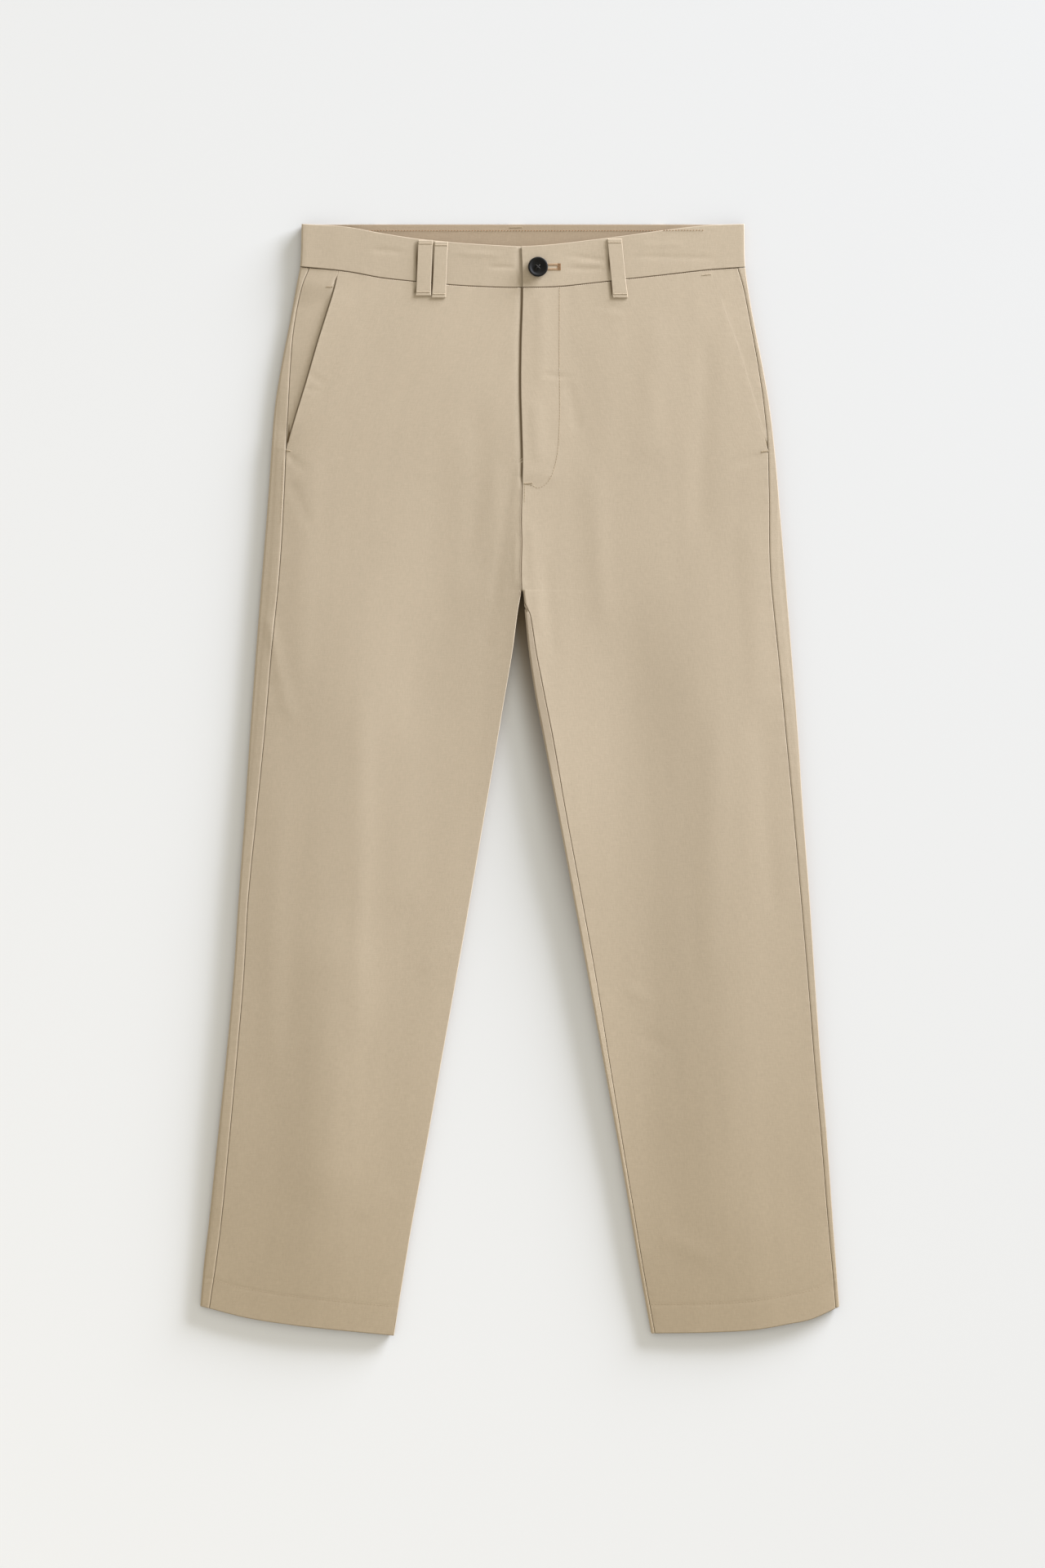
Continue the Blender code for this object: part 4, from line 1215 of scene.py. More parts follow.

# %% [markdown]
# At its lower end the right pocket's mouth gapes, and the fly's edge and the crotch lie in shade. Each is
# painted shade: a share from 0 to 1 that paints the cloth as dark as cloth turned out of the light.

# %% Shade at the mouth, the fly and the crotch
Gape = namedtuple("Gape", "start end depth")
GAPES = (                       # short lines along which the right pocket's mouth gapes, with shade painted in them
    Gape(Point(-213.9, 333.0), Point(-215.1, 314.0), 0.9),
    Gape(Point(-217.0, 309.5), Point(-218.6, 300.0), 0.7),
)
GAPE_WIDTH = 0.9 * MM
GAPE_EASE = 5 * MM


def gape(side, x, y):
    """The dark, narrow gapes at the lower end of the right pocket's mouth: grooves with painted shade."""
    total = np.zeros_like(x)
    if side == "right":
        for start, end, depth in GAPES:
            off = near_line(np.array([start, end]) * MM, x, y)
            ends = smooth((start.y * MM - y) / GAPE_EASE) * smooth((y - end.y * MM) / MM + 1)
            total = total + depth * ends * bell(off / GAPE_WIDTH)
    return total


MIDDLE_SHADE_OFF = 0.9 * MM
MIDDLE_SHADE_WIDTH = 1.2 * MM
FLY_SOFT_SHADE = 0.52                   # a soft painted shade beside the fly's edge
FLY_SOFT_WIDTH = 5 * MM
CROTCH_SHADE = (2.6 * MM, 7 * MM)       # half its width and height
CROTCH_SHADE_Y = 172 * MM
SEAM_SHADE = 0.7
MIDDLE_SHADE_EASE = 5 * MM


def middle_shade(side, x, y):
    """Painted shade at the crotch, and on the right front by the fly's edge and in the seam below it."""
    spot_x, spot_y = CROTCH_SHADE
    spot = bell((x - CENTRE_X(CROTCH_Y)) / spot_x) * bell((y - CROTCH_SHADE_Y) / spot_y)
    if side == "left":
        return spot
    off = (CENTRE_X(y) - MIDDLE_SHADE_OFF - x) / MIDDLE_SHADE_WIDTH
    along_fly = smooth((y - FLY_END_Y) / MIDDLE_SHADE_EASE)
    level = SEAM_SHADE + (1 - SEAM_SHADE) * along_fly
    line_shade = level * bell(off) * smooth((y - CROTCH_Y) / MIDDLE_SHADE_EASE + 1)
    soft_shade = FLY_SOFT_SHADE * along_fly * bell((CENTRE_X(y) - x) / FLY_SOFT_WIDTH)
    return np.maximum(spot, np.maximum(line_shade, soft_shade))


print(f"{len(GAPES)} gapes at the right pocket, {GAPE_WIDTH / MM:.1f} mm wide")

# %% [markdown]
# Now both fronts are made. A front is sewn at its side below the pocket, at its inner edge below the fly,
# and at the waist. Its pocket mouth, its fly edge and its hem are folded.

# %% Fronts
SEWN_EASE = 4 * MM              # along an edge, from where it is folded to where it is sewn
MOUTH_PRESSED = 0.18            # share of an edge that the left pocket's mouth shows
for side in SIDES:
    form, lie = front_form(side)
    x, y = form[..., 0], form[..., 1]
    from_side, from_inner, from_hem, from_waist = from_edges(form)
    sewn_side = smooth((MOUTH_END_Y - y) / SEWN_EASE)
    sewn_inner = smooth((FLY_END_Y - y) / SEWN_EASE)
    mouth_share = 1 if side == "right" else sewn_side + (1 - sewn_side) * MOUTH_PRESSED * mouth_open(y)
    drops = [
        (from_side, edge_drop(from_side, sewn_side) * mouth_share),
        (from_inner, edge_drop(from_inner, sewn_inner)),
        (from_waist, edge_drop(from_waist, 1)),
        (from_hem, edge_drop(from_hem, 0)),
    ]
    pressed_and_shaded = loop_groove(side, x, y) + gape(side, x, y)
    # painted shade: under the folds, in the loop grooves and gapes, and along the middle
    shade = turned_under(lie) + pressed_and_shaded + middle_shade(side, x, y)
    height, painted_shading = all_edges(drops)
    height = height + hem_dent(from_hem) - LOOP_GROOVE * pressed_and_shaded
    height += puckers(from_side, y, "side") * sewn_side + puckers(from_inner, y, "inner") * sewn_inner
    height += puckers(from_waist, x, "waist") + HEM_PUCKERS * puckers(from_hem, x, "hem")
    if side == "left":
        height += groove(near_line(fly_line, x, y))
    piece = cloth_shell(f"{side}_front", raised(form, height), CLOTH, painted_shading - FULL_SHADE * shade, HEM_ROWS)
    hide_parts(f"front_{side}")
    print(f"{piece.name}: {form.shape[0]} x {form.shape[1]} points, {np.ptp(x):.3f} x {np.ptp(y):.3f} m")

# %% [markdown]
# ## The backs
#
# A back starts at the side seam on top of the leg, goes round the side fold, along the floor and, in the
# leg, round the inner fold to the inseam. Above the crotch it ends in the seat seam instead, flat on the
# floor. Behind, the waist lies on its three belt loops, which lifts it a little.

# %% Form of a back
STRIP_SHARES = [0, 0.02, 0.05, 0.09, 0.14, 0.21, 0.29, 0.38, 0.48, 0.58, 0.68, 0.78, 0.87, 0.94, 0.98, 1]
STRIP_SHARES = np.array(STRIP_SHARES)
STRIP_BLEND = 3 * MM            # in a narrower strip its columns are spread over the fold too
TURN_STEPS = 7
UNDER_STEPS = 6
FLOOR_STEPS = 24
SEAT_ZONE = 8.6 * MM
SEAT_EASE = 60 * MM
LOOP_LIFT = 1.5 * MM
LIFT_EASE = 17 * MM
LIFT_HALF_WIDTH = 145 * MM
LIFT_SIDE_EASE = 36 * MM


def in_steps(count):
    """Shares from above 0 up to 1, in even steps."""
    return np.linspace(0, 1, count + 1)[1:]


turn, under, along_floor = in_steps(TURN_STEPS), in_steps(UNDER_STEPS), in_steps(FLOOR_STEPS)
stretches = (STRIP_SHARES, turn, under, along_floor, under, turn, 1 - STRIP_SHARES[::-1][1:])
before = np.cumsum([0] + [len(stretch) for stretch in stretches])
walked = []                     # how much of each stretch is walked at every column, from 0 to 1
for start, end, stretch in zip(before, before[1:], stretches):
    walked.append(np.concatenate([np.zeros(start), stretch, np.ones(before[-1] - end)]))
OVER_STRIP, SIDE_UP, SIDE_DOWN, ALONG_FLOOR, INNER_DOWN, INNER_UP, OVER_WRAP = walked


def underside(x, y):
    """The outer face below: flat on the floor but for the back waist, which lies on its loops."""
    near_waist = smooth((y - (WAIST_Y - MM)) / LIFT_EASE + 1)
    middle = 1 - smooth((np.abs(x) - LIFT_HALF_WIDTH) / LIFT_SIDE_EASE)
    return LOOP_LIFT * near_waist * middle


def back_section(side, y):
    """(x, lie) of a back's columns."""
    outward = TOWARDS_SIDE[side]
    width = np.abs(EDGE[side](y) - SEAM[side](y)) - SEAM_GAP / 2
    outer, inner = ROUNDS[side]
    turn_up = outer * RIGHT_ANGLE
    flat = np.maximum(width - outer, 0)
    plain = (flat + turn_up) * (1 - (OVER_STRIP + SIDE_UP) / 2)
    wrapped = flat * (1 - OVER_STRIP) + turn_up * (1 - SIDE_UP)
    place = plain + (wrapped - plain) * smooth(flat / STRIP_BLEND) - TURN_DOWN * SIDE_DOWN
    side_x, side_lie = over_fold(place, EDGE[side](y), -outward, outer)
    turn_up = inner * RIGHT_ANGLE
    last = past_fold(side, y) - SEAM_GAP / 2
    walk = (INNER_DOWN + INNER_UP + OVER_WRAP) / 3
    plain = (TURN_DOWN + last) * walk - TURN_DOWN
    wrapped = TURN_DOWN * (INNER_DOWN - 1) + turn_up * INNER_UP + (last - turn_up) * OVER_WRAP
    place = plain + (wrapped - plain) * smooth((last - turn_up) / MM)
    leg_x, leg_lie = over_fold(place, INNER_EDGE[side](y), outward, inner)
    lean = (CENTRE_BACK_X - CENTRE_X(y)) * smooth((y - CROTCH_Y) / SEAT_EASE)
    seat_x = CENTRE_X(y) + lean + outward * (SEAM_GAP / 2 + SEAT_ZONE * (1 - walk))
    end_x = seat_x + (leg_x - seat_x) * in_leg(y)
    end_lie = (leg_lie + 1) * in_leg(y) - 1
    return side_x + (end_x - side_x) * ALONG_FLOOR, side_lie + (end_lie - side_lie) * ALONG_FLOOR


def back_form(side):
    """The grid of a back, and how it lies."""
    x, lie, y = settled(lambda y: back_section(side, y), side)
    z = between(lie, front_height(side, x, y), underside(x, y), radius_at(side, x, y))
    return np.stack([x, y, z], axis=-1), lie


print(f"{before[-1]} columns round a back")

# %% [markdown]
# The allowance of the side seam is pressed towards the back, so a low, even ridge runs along the seam on
# its strip. The cloth that lies on the floor only ever sinks inwards, so that it stays flat where it rests.
# On the left leg shade is painted on the strip along the inner fold near the crotch, and light lower down,
# and painted shade tempers the outer fold a little where it faces the lamp.

# %% Backs
RIDGE_HEIGHT = 0.12 * MM
RIDGE_START = 0.4 * MM
RIDGE_WIDTH = 7.5 * MM
RIDGE_RISE = 1.2 * MM
RIDGE_FALL = 2.5 * MM
LAMP_SIDE_WIDTH = 4.5 * MM      # of the painted shade that tempers a fold towards the lamp
LAMP_SIDE_EASE = 3 * MM
LAMP_SIDE_LIE = 0.95            # the painted shade begins just below the top of the fold
LAMP_SIDE_LIE_EASE = 0.5
WRAP_SHADE = 0.62               # how dark the painted shade on the left leg's wrapped strip is
WRAP_PAINTED_LIGHT = 0.4                 # and how much light is painted on it lower down
WRAP_CHANGE_Y = (60 * MM, -240 * MM)
WRAP_WIDTH = 9 * MM
WRAP_EASE = 6 * MM
WRAP_LIE_EASE = 0.5


def allowance_ridge(distance):
    """The height of the ridge at a distance from the side seam."""
    fall = smooth((distance - RIDGE_WIDTH) / RIDGE_FALL)
    return RIDGE_HEIGHT * smooth((distance - RIDGE_START) / RIDGE_RISE) * (1 - fall)


def lamp_side_shade(side, x, y, lie):
    """Painted shade that tempers the left leg's outer fold, which would shine towards the lamp."""
    if side == "right":
        return 0
    near_edge = smooth((x - EDGE[side](y) + LAMP_SIDE_WIDTH) / LAMP_SIDE_EASE)
    return near_edge * smooth((LAMP_SIDE_LIE - lie) / LAMP_SIDE_LIE_EASE) * smooth(lie + 1)


def wrap_shade(side, y, lie, from_inner):
    """Painted shade, and painted light lower down, on the back's strip over the left leg's inner edge."""
    if side == "right":
        return 0
    start, end = WRAP_CHANGE_Y
    level = WRAP_SHADE - (WRAP_SHADE + WRAP_PAINTED_LIGHT) * smooth((start - y) / (start - end))
    across = 1 - smooth((from_inner - WRAP_WIDTH) / WRAP_EASE)
    return level * in_leg(y) * across * smooth(lie / WRAP_LIE_EASE)


for side in SIDES:
    form, lie = back_form(side)
    x, y = form[..., 0], form[..., 1]
    from_side, from_inner, from_hem, from_waist = from_edges(form)
    on_top = smooth(lie + 1)
    drops = [
        (from_side, edge_drop(from_side, 1)),
        (from_inner, edge_drop(from_inner, 1)),
        (from_waist, edge_drop(from_waist, 1)),
        (from_hem, edge_drop(from_hem, 0)),
    ]
    # painted shade under the folds, on the fold towards the lamp and on the wrapped strip
    shade = turned_under(lie) + lamp_side_shade(side, x, y, lie) + wrap_shade(side, y, lie, from_inner)
    raise_by = puckers(from_side, y, "side") + puckers(from_inner, y, "inner") + allowance_ridge(from_side)
    height, painted_shading = all_edges(drops)
    height = height + hem_dent(from_hem) + on_top * raise_by
    piece = cloth_shell(f"{side}_back", raised(form, height), CLOTH, painted_shading - FULL_SHADE * shade, HEM_ROWS)
    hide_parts(f"back_{side}")
    print(f"{piece.name}: {form.shape[0]} x {form.shape[1]} points")

# %% [markdown]
# ## Pocket facings
#
# In the slanting mouth of each side pocket shows the pocket's inner piece, of the same twill. It is level
# with the back at the side seam and lies one cloth deeper under the front's edge.

# %% Pocket facings
FACING_BELOW = 12 * MM
FACING_LANDING = {"right": 2.5 * MM, "left": 0.0}
FACING_CLOSED = 0.3 * MM
FACING_TUCK = {"right": 0.3 * MM, "left": 0.45 * MM}
FACING_NARROW = {"right": 2 * MM, "left": 0.5 * MM}
# painted shade along each pocket's mouth
MOUTH_SHADE = {"right": 0.8, "left": 0.15}
MOUTH_SHADE_OFF = 0.7 * MM
MOUTH_SHADE_WIDTH = 1.0 * MM
FACING_EASE = {"right": 5 * MM, "left": 2 * MM}
FACING_WIDTH = 38 * MM          # of what shows, at the waist
FACING_LEAST = 1.5 * MM
FACING_MIDDLE = np.linspace(0.19, 0.94, 14)[1:]
NEAR_MOUTH = [0.965, 0.982, 0.992, 1]
VISIBLE_SHARES = np.concatenate([NEAR_EDGE / FACING_WIDTH, FACING_MIDDLE, NEAR_MOUTH])
HIDDEN = np.array([0.1, 0.2, 0.3, 0.42, 0.6, 1.0, 2.0, 4.0, 8.0, 15.0, 24.0]) * MM
FACING_SHARES = np.concatenate([VISIBLE_SHARES, np.ones(len(HIDDEN))])
FACING_HIDDEN = np.concatenate([np.zeros(len(VISIBLE_SHARES)), HIDDEN])
FACING_LEVELS = LEVELS[LEVELS[:, 0] > MOUTH_END_Y - FACING_BELOW]


def facing_section(side, y):
    """(x, lie) of a facing's columns."""
    outward = TOWARDS_SIDE[side]
    seam = SEAM[side](y) - outward * SEAM_GAP / 2
    shows = np.maximum((seam - MOUTH_X[side](y)) * outward, FACING_LEAST)
    return seam - outward * (shows * FACING_SHARES + FACING_HIDDEN), np.ones_like(y)


def mouth_shade(side, y, past_mouth):
    """Painted shade along a pocket's mouth, where its edge shades the facing."""
    return MOUTH_SHADE[side] * mouth_open(y) * bell((past_mouth - MOUTH_SHADE_OFF) / MOUTH_SHADE_WIDTH)


for side in SIDES:
    x, _, y = settled(lambda y: facing_section(side, y), side, FACING_LEVELS)
    visible = (SEAM[side](y) - MOUTH_X[side](y)) * TOWARDS_SIDE[side]
    past_mouth = (x - MOUTH_X[side](y)) * TOWARDS_SIDE[side]
    landing = FACING_CLOSED + FACING_LANDING[side] * mouth_open(y)
    wide_enough = smooth((visible - FACING_NARROW[side]) / FACING_EASE[side])
    sunk = 1 - smooth((past_mouth + FACING_TUCK[side]) / landing) * wide_enough
    below = (CLOTH + LAYER_GAP - mouth_step(side, x, y)) * sunk
    form = np.stack([x, y, front_height(side, x, y) - below], axis=-1)
    from_side, _, _, from_waist = from_edges(form)
    drops = [
        (from_side, edge_drop(from_side, 1)),
        (from_waist, edge_drop(from_waist, 1) * (1 - sunk)),
    ]
    height, painted_shading = all_edges(drops)
    height = height + puckers(from_side, y, "side") + puckers(from_waist, x, "waist")
    # painted shade in the gapes and along the mouth
    painted_shading = painted_shading - FULL_SHADE * (gape(side, x, y) + mouth_shade(side, y, past_mouth))
    form = raised(form, height)
    piece = cloth_shell(f"{side}_pocket_facing", form, CLOTH, painted_shading, even=False)
    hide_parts(f"pocket_facing_{side}")
    print(f"{piece.name}: shows up to {float(visible.max()) / MM:.0f} mm of itself")

# %% [markdown]
# ## The waistband
#
# The waistband is a folded strip 40 mm deep in two halves, sewn together at the centre back. Each half runs
# from the front, round the side fold and along the floor. Its rows lie at shares of its depth, so one grid
# fits the front's dipping edge and the straight back. Over the fly the buttonhole end covers the other.

# %% Form of the waistband
BAND_DEPTH = 40 * MM
BAND_LENGTH = 205 * MM
BAND_JOIN = 0.01 * MM           # half the gap at the centre back
BAND_FOLD_SHARE = 0.1           # of the seams' depth that is left on the side folds
BAND_FOLD_END = 1.1             # how fast the rest comes back away from them
BAND_EDGE_SEWN = 0.4            # the upper edge is something between a fold and a seam
BAND_EDGE_PUCKERS = 0.6         # its puckers, beside a seam's
BAND_UNEVENNESS = 0.6           # and the band's ripples, beside the legs'
BAND_LIE_EASE = 0.25            # of the lie, over which the front's painted shade begins
BAND_ROWS = 16
BAND_COLUMNS = {"front": 66, "fold": 19, "back": 46}
BAND_CREASES = {
    "right": (
        Crease(-30, 476, -5, 475.6, 1.6, -0.22),
        Crease(-60, 489, -20, 487, 2.4, 0.15),
        Crease(-140, 492, -110, 490, 2.4, -0.15),
    ),
    "left": (
        Crease(42, 487, 80, 482, 1.6, -0.2),
        Crease(40, 474.5, 80, 474, 1.6, -0.2),
        Crease(50, 480, 76, 478, 2.2, 0.15),
        Crease(100, 486, 178, 484, 1.8, -0.16),
        Crease(110, 496, 150, 497, 2.4, 0.12),
    ),
}
middle_rises = np.linspace(NEAR_EDGE[-1], BAND_DEPTH - NEAR_EDGE[-1], BAND_ROWS)[1:-1]
rises = np.concatenate([NEAR_EDGE, middle_rises, BAND_DEPTH - NEAR_EDGE[::-1]])
BAND_RISES = (rises / BAND_DEPTH)[:, None]
near_end = NEAR_EDGE / BAND_LENGTH
BAND_FRONT = np.concatenate([near_end, np.linspace(near_end[-1], 1, BAND_COLUMNS["front"])[1:]])
BAND_TURNS = RIGHT_ANGLE * np.linspace(1, -1, BAND_COLUMNS["fold"])[1:-1]
to_centre = np.linspace(1, near_end[-1], BAND_COLUMNS["back"])[:-1]
BAND_BACK = 1 - np.concatenate([to_centre, near_end[::-1]])


def band_form(side):
    """The grid of a waistband half, and how it lies."""
    outward = TOWARDS_SIDE[side]
    end = CENTRE_X(WAIST_Y + BAND_DEPTH * (BAND_RISES - 0.5)) + (UNDERLAP if side == "right" else 0)
    edge = EDGE[side](WAIST_Y + BAND_DEPTH * BAND_RISES)
    radius = ROUNDS[side].outer
    reach = np.where(BAND_TURNS > 0, radius, ROLL)
    front_x = end + (edge - outward * radius - end) * BAND_FRONT
    fold_x = edge - outward * reach * (1 - np.cos(BAND_TURNS))
    back_start = edge - outward * ROLL
    back_x = back_start + (CENTRE_BACK_X + outward * BAND_JOIN - back_start) * BAND_BACK
    x = np.hstack([front_x, fold_x, back_x])
    turns = (np.ones(len(BAND_FRONT)), np.sin(BAND_TURNS), -np.ones(len(BAND_BACK)))
    lie = np.concatenate(turns) * np.ones_like(x)
    low = SEAM_Y(x) + SEAM_GAP
    front_y = low + (BAND_EDGE_Y(x) - low) * BAND_RISES
    back_y = WAIST_Y + SEAM_GAP + (BAND_DEPTH - SEAM_GAP) * BAND_RISES
    y = back_y + (front_y - back_y) * (1 + lie) / 2
    uneven = crease_height(BAND_CREASES[side], x, y) + BAND_UNEVENNESS * unevenness(x, y)
    z = between(lie, band_height(side, x) + uneven, underside(x, WAIST_Y), radius)
    return np.stack([x, y, z], axis=-1), lie


for side in SIDES:
    form, lie = band_form(side)
    x, y = form[..., 0], form[..., 1]
    from_end, _, from_seam, from_edge = from_edges(form)
    off_fold = BAND_FOLD_SHARE + (1 - BAND_FOLD_SHARE) * smooth(np.abs(lie) * BAND_FOLD_END)
    drops = [
        (from_end, edge_drop(from_end, 0)),
        (from_seam, edge_drop(from_seam, 1) * off_fold),
        (from_edge, edge_drop(from_edge, BAND_EDGE_SEWN) * off_fold),
    ]
    on_front = smooth(lie / BAND_LIE_EASE)
    pressed_and_shaded = loop_groove(side, x, y) * on_front
    # painted shade under the fold, in the loop grooves and along the middle
    shade = turned_under(lie) + pressed_and_shaded + middle_shade(side, x, y) * on_front
    ripple = puckers(from_seam, x, "waist") + BAND_EDGE_PUCKERS * puckers(from_edge, x, "band_edge")
    height, painted_shading = all_edges(drops)
    height = height + smooth(lie + 1) * ripple - LOOP_GROOVE * pressed_and_shaded
    piece = cloth_shell(f"{side}_waistband", raised(form, height), BAND_WALL, painted_shading - FULL_SHADE * shade)
    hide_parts(f"waistband_{side}")
    print(f"{piece.name}: {form.shape[0]} x {form.shape[1]} points")

# %% [markdown]
# ## Belt loops
#
# A belt loop is a narrow strip of twill with both ends turned under and tacked down. The path runs along
# the tucked end, round the lower fold, up over the band in a low arch, round the upper fold and back under.
# Sweeping a row of points along that path gives both layers and the round ends in one piece. The table of
# the loops is above, with the grooves that they press.

# %% Form of a belt loop
LOOP_WALL = 0.4 * MM
LOOP_FOLD = 0.42 * MM           # radius of the turned-under ends
LOOP_REST = 0.05 * MM
LOOP_ARCH = 0.15 * MM
LOOP_TUCK = 9 * MM
LOOP_FLARE = 0.05               # how much wider the tail gets at its end
LOOP_FLARE_END = 0.25           # share of the height at which that begins
LOOP_STEP_EASE = 6 * MM         # from the front up on to the waistband
LOOP_ARCH_POWER = 0.8
LOOP_TACK = 3.4 * MM            # the tacks' distance from the ends
LOOP_DENT = 0.07 * MM
LOOP_DENT_WIDTH = 0.9 * MM
# shade painted in the dents at the tacks
LOOP_DENT_SHADE = 0.1
LOOP_TURN_STEPS = 9
LOOP_TUCK_STEPS = 6
LOOP_STEPS = (0.03, 0.012)      # shares of the height, along the middle and at the ends
LOOP_END_REACH = 0.2
HALF_LOOP = np.array([0, 0.008, 0.025, 0.05, 0.09, 0.14, 0.22, 0.31, 0.4])
ACROSS_LOOP = np.concatenate([HALF_LOOP, [0.5], 1 - HALF_LOOP[::-1]]) - 0.5


def loop_path(length):
    """(share of the length, share of the way to the upper side) of the points along a loop."""
    fold = LOOP_FOLD / length
    tuck = LOOP_TUCK / length
    turn = np.linspace(0, math.pi, LOOP_TURN_STEPS)[1:-1]
    low = np.linspace(tuck, fold, LOOP_TUCK_STEPS)
    round_end = fold * (1 - np.sin(turn))
    over = fold + (1 - 2 * fold) * graded(0, 1, *LOOP_STEPS, (0, 1), LOOP_END_REACH)
    share = np.concatenate([low, round_end, over, 1 - round_end, 1 - low[::-1]])
    below, above = np.zeros(LOOP_TUCK_STEPS), np.ones(len(over))
    turned = np.concatenate([below, (1 - np.cos(turn)) / 2, above, (1 + np.cos(turn)) / 2, below])
    return share[:, None], turned[:, None]


def loop_form(row):
    """(grid, share of the way to the upper side, distances from both ends) of a front belt loop."""
    side, low, high = loop_span(row)
    share, turned = loop_path(high - low)
    flare = 1 + LOOP_FLARE * (1 - smooth(share / LOOP_FLARE_END))
    x = loop_middle(row, share) + row.width * MM * flare * ACROSS_LOOP
    y = (low + (high - low) * share) * np.ones_like(x)
    on_band = smooth((y - low - row.tail * MM) / LOOP_STEP_EASE + 0.5)
    front = front_height(side, x, y)
    seat = front + (band_height(side, x) - front) * on_band
    arch = LOOP_ARCH * np.sin(math.pi * np.clip(share, 0, 1)) ** LOOP_ARCH_POWER * turned
    z = seat + LOOP_REST + 2 * LOOP_FOLD * turned + arch
    return np.stack([x, y, z], axis=-1), turned, (y - low, high - y)


for row in LOOPS:
    form, turned, ends = loop_form(row)
    edge = np.minimum(*from_edges(form)[:2])
    drop = edge_drop(edge, 0)
    dent = sum(bell((end - LOOP_TACK) / LOOP_DENT_WIDTH) for end in ends)
    height = drop - LOOP_DENT * dent * turned
    # painted shade and light at the edges, and painted shade in the dents
    painted_shading = painted_near_edge(edge, drop) - LOOP_DENT_SHADE * dent
    piece = cloth_shell(row.name, raised(form, height, up=False), LOOP_WALL, painted_shading, up=False)
    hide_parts(row.node)
    print(f"{row.name}: {float(np.ptp(form[..., 1])) / MM:.0f} mm high, {row.width} mm wide")

# %% [markdown]
# The three loops behind lie flat on the floor under the waistband and don't show, so they are plain strips.
# So are the fly's shield, a flap behind the zip, and the tapes of the zip.

# %% Hidden strips
BACK_LOOP_X = {"back_right_loop": -128, "back_centre_loop": -3.4, "back_left_loop": 128}
BACK_LOOP_NODES = {name: "belt_loop_" + name[:-5] for name in BACK_LOOP_X}
BACK_LOOP_WIDTH = 13 * MM
BACK_LOOP_Y = (476.5 * MM, 515.0 * MM)
BACK_LOOP_WALL = 1.2 * MM
SHIELD_WALL = 1.0 * MM
TAPE_WALL = 1.0 * MM
SHIELD_TOP = CLOTH + LAYER_GAP + SHIELD_WALL
SHIELD_X = (-14 * MM, 34 * MM)
SHIELD_Y = (272 * MM, 455 * MM)
ZIP_Y = (298 * MM, 454 * MM)
TAPES_X = (7 * MM, 29 * MM)


def strip(x_range, y_range, z, columns, rows, lean=None):
    """A flat grid that follows the fly where lean is the fly's edge."""
    x, y = np.meshgrid(np.linspace(*x_range, columns), np.linspace(*y_range, rows))
    return np.stack([x if lean is None else x + lean(y), y, np.full_like(x, z)], axis=-1)


def plain_painted_edges(form):
    """A little painted light along the edges all round."""
    return painted_near_edge(np.minimum.reduce(from_edges(form)), 0)


for name, x in BACK_LOOP_X.items():
    x_range = (x * MM - BACK_LOOP_WIDTH / 2, x * MM + BACK_LOOP_WIDTH / 2)
    form = strip(x_range, BACK_LOOP_Y, 0, columns=8, rows=14)
    piece = cloth_shell(name, form, BACK_LOOP_WALL, plain_painted_edges(form), up=False)
    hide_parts(BACK_LOOP_NODES[name])

form = strip(SHIELD_X, SHIELD_Y, SHIELD_TOP, columns=16, rows=60, lean=CENTRE_X)
shield = cloth_shell("fly_shield_piece", form, SHIELD_WALL, plain_painted_edges(form))
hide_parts("fly_shield")
tapes_top = SHIELD_TOP + LAYER_GAP + TAPE_WALL
form = strip(TAPES_X, ZIP_Y, tapes_top, columns=12, rows=60, lean=CENTRE_X)
tapes = cloth_shell("zip_tapes", form, TAPE_WALL, plain_painted_edges(form))
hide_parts("zip")
print("hidden strips: 3 back loops, shield and zip tapes")

# %% [markdown]
# ## Thread
#
# Thread is twisted, so its finish is striped aslant, and shade is painted on it where it goes into the
# cloth. Most of the sewing is nearly of the cloth's own colour. The row inside the waistband and the
# buttonhole's bars are amber, the stitches of the waist seam are dark, and the button's thread is nearly
# black.

# %% Thread finishes
THREAD = (0.41, 0.32, 0.21)
THREAD_SANDY = (0.50, 0.405, 0.285)
THREAD_AMBER = (0.30, 0.165, 0.075)
THREAD_RAIL = (0.46, 0.31, 0.185)
THREAD_DARK = (0.15, 0.085, 0.04)
THREAD_BUTTON = (0.03, 0.028, 0.026)
THREAD_SHARES = (0.45, 1.1)             # of its colour, where it is darkest and palest
THREAD_GLOSS = {"Roughness": 0.8, "Specular IOR Level": 0.2}
TWIST_LENGTH = 0.5 * MM
TWIST_DEPTH = 0.04 * MM
TWIST_TONE = 0.12
# shade painted where a stitch goes into the cloth
HOLE_SHADE_TONE = 0.8


def thread_finish(name, colour):
    """Twisted thread, with shade painted where it goes into the cloth."""
    finish = Finish(bpy.data.materials.new(name), THREAD_GLOSS)
    turns = finish.attribute("grain", "Vector") * (2 * math.pi, 2 * math.pi / TWIST_LENGTH, 0)
    twist = (turns.part("X") + turns.part("Y")).sine()
    light = 1 - finish.attribute("dive") * HOLE_SHADE_TONE + twist * TWIST_TONE
    dark, pale = (tone(colour, share) for share in THREAD_SHARES)
    finish.feed("Base Color", finish.mix(light.within(0, 1), dark, pale))
    finish.bump(twist, TWIST_DEPTH)
    return finish.owner


TONAL = thread_finish("thread", THREAD)
SANDY = thread_finish("sandy_thread", THREAD_SANDY)
AMBER = thread_finish("amber_thread", THREAD_AMBER)
RAIL = thread_finish("buttonhole_thread", THREAD_RAIL)
DARK = thread_finish("dark_thread", THREAD_DARK)
BUTTON_THREAD = thread_finish("button_thread", THREAD_BUTTON)
print(f"thread: {len(TONAL.node_tree.nodes)} nodes, a twist every {TWIST_LENGTH / MM:.1f} mm")

# %% [markdown]
# A stitch is a short arc of thread that dives into the cloth at both ends. One such arc is made as rings of
# points, and copies of it are laid along the lines of sewing, each turned along its line and set on the
# cloth. To find the cloth, a ray is sent down from above on to the finished shells.

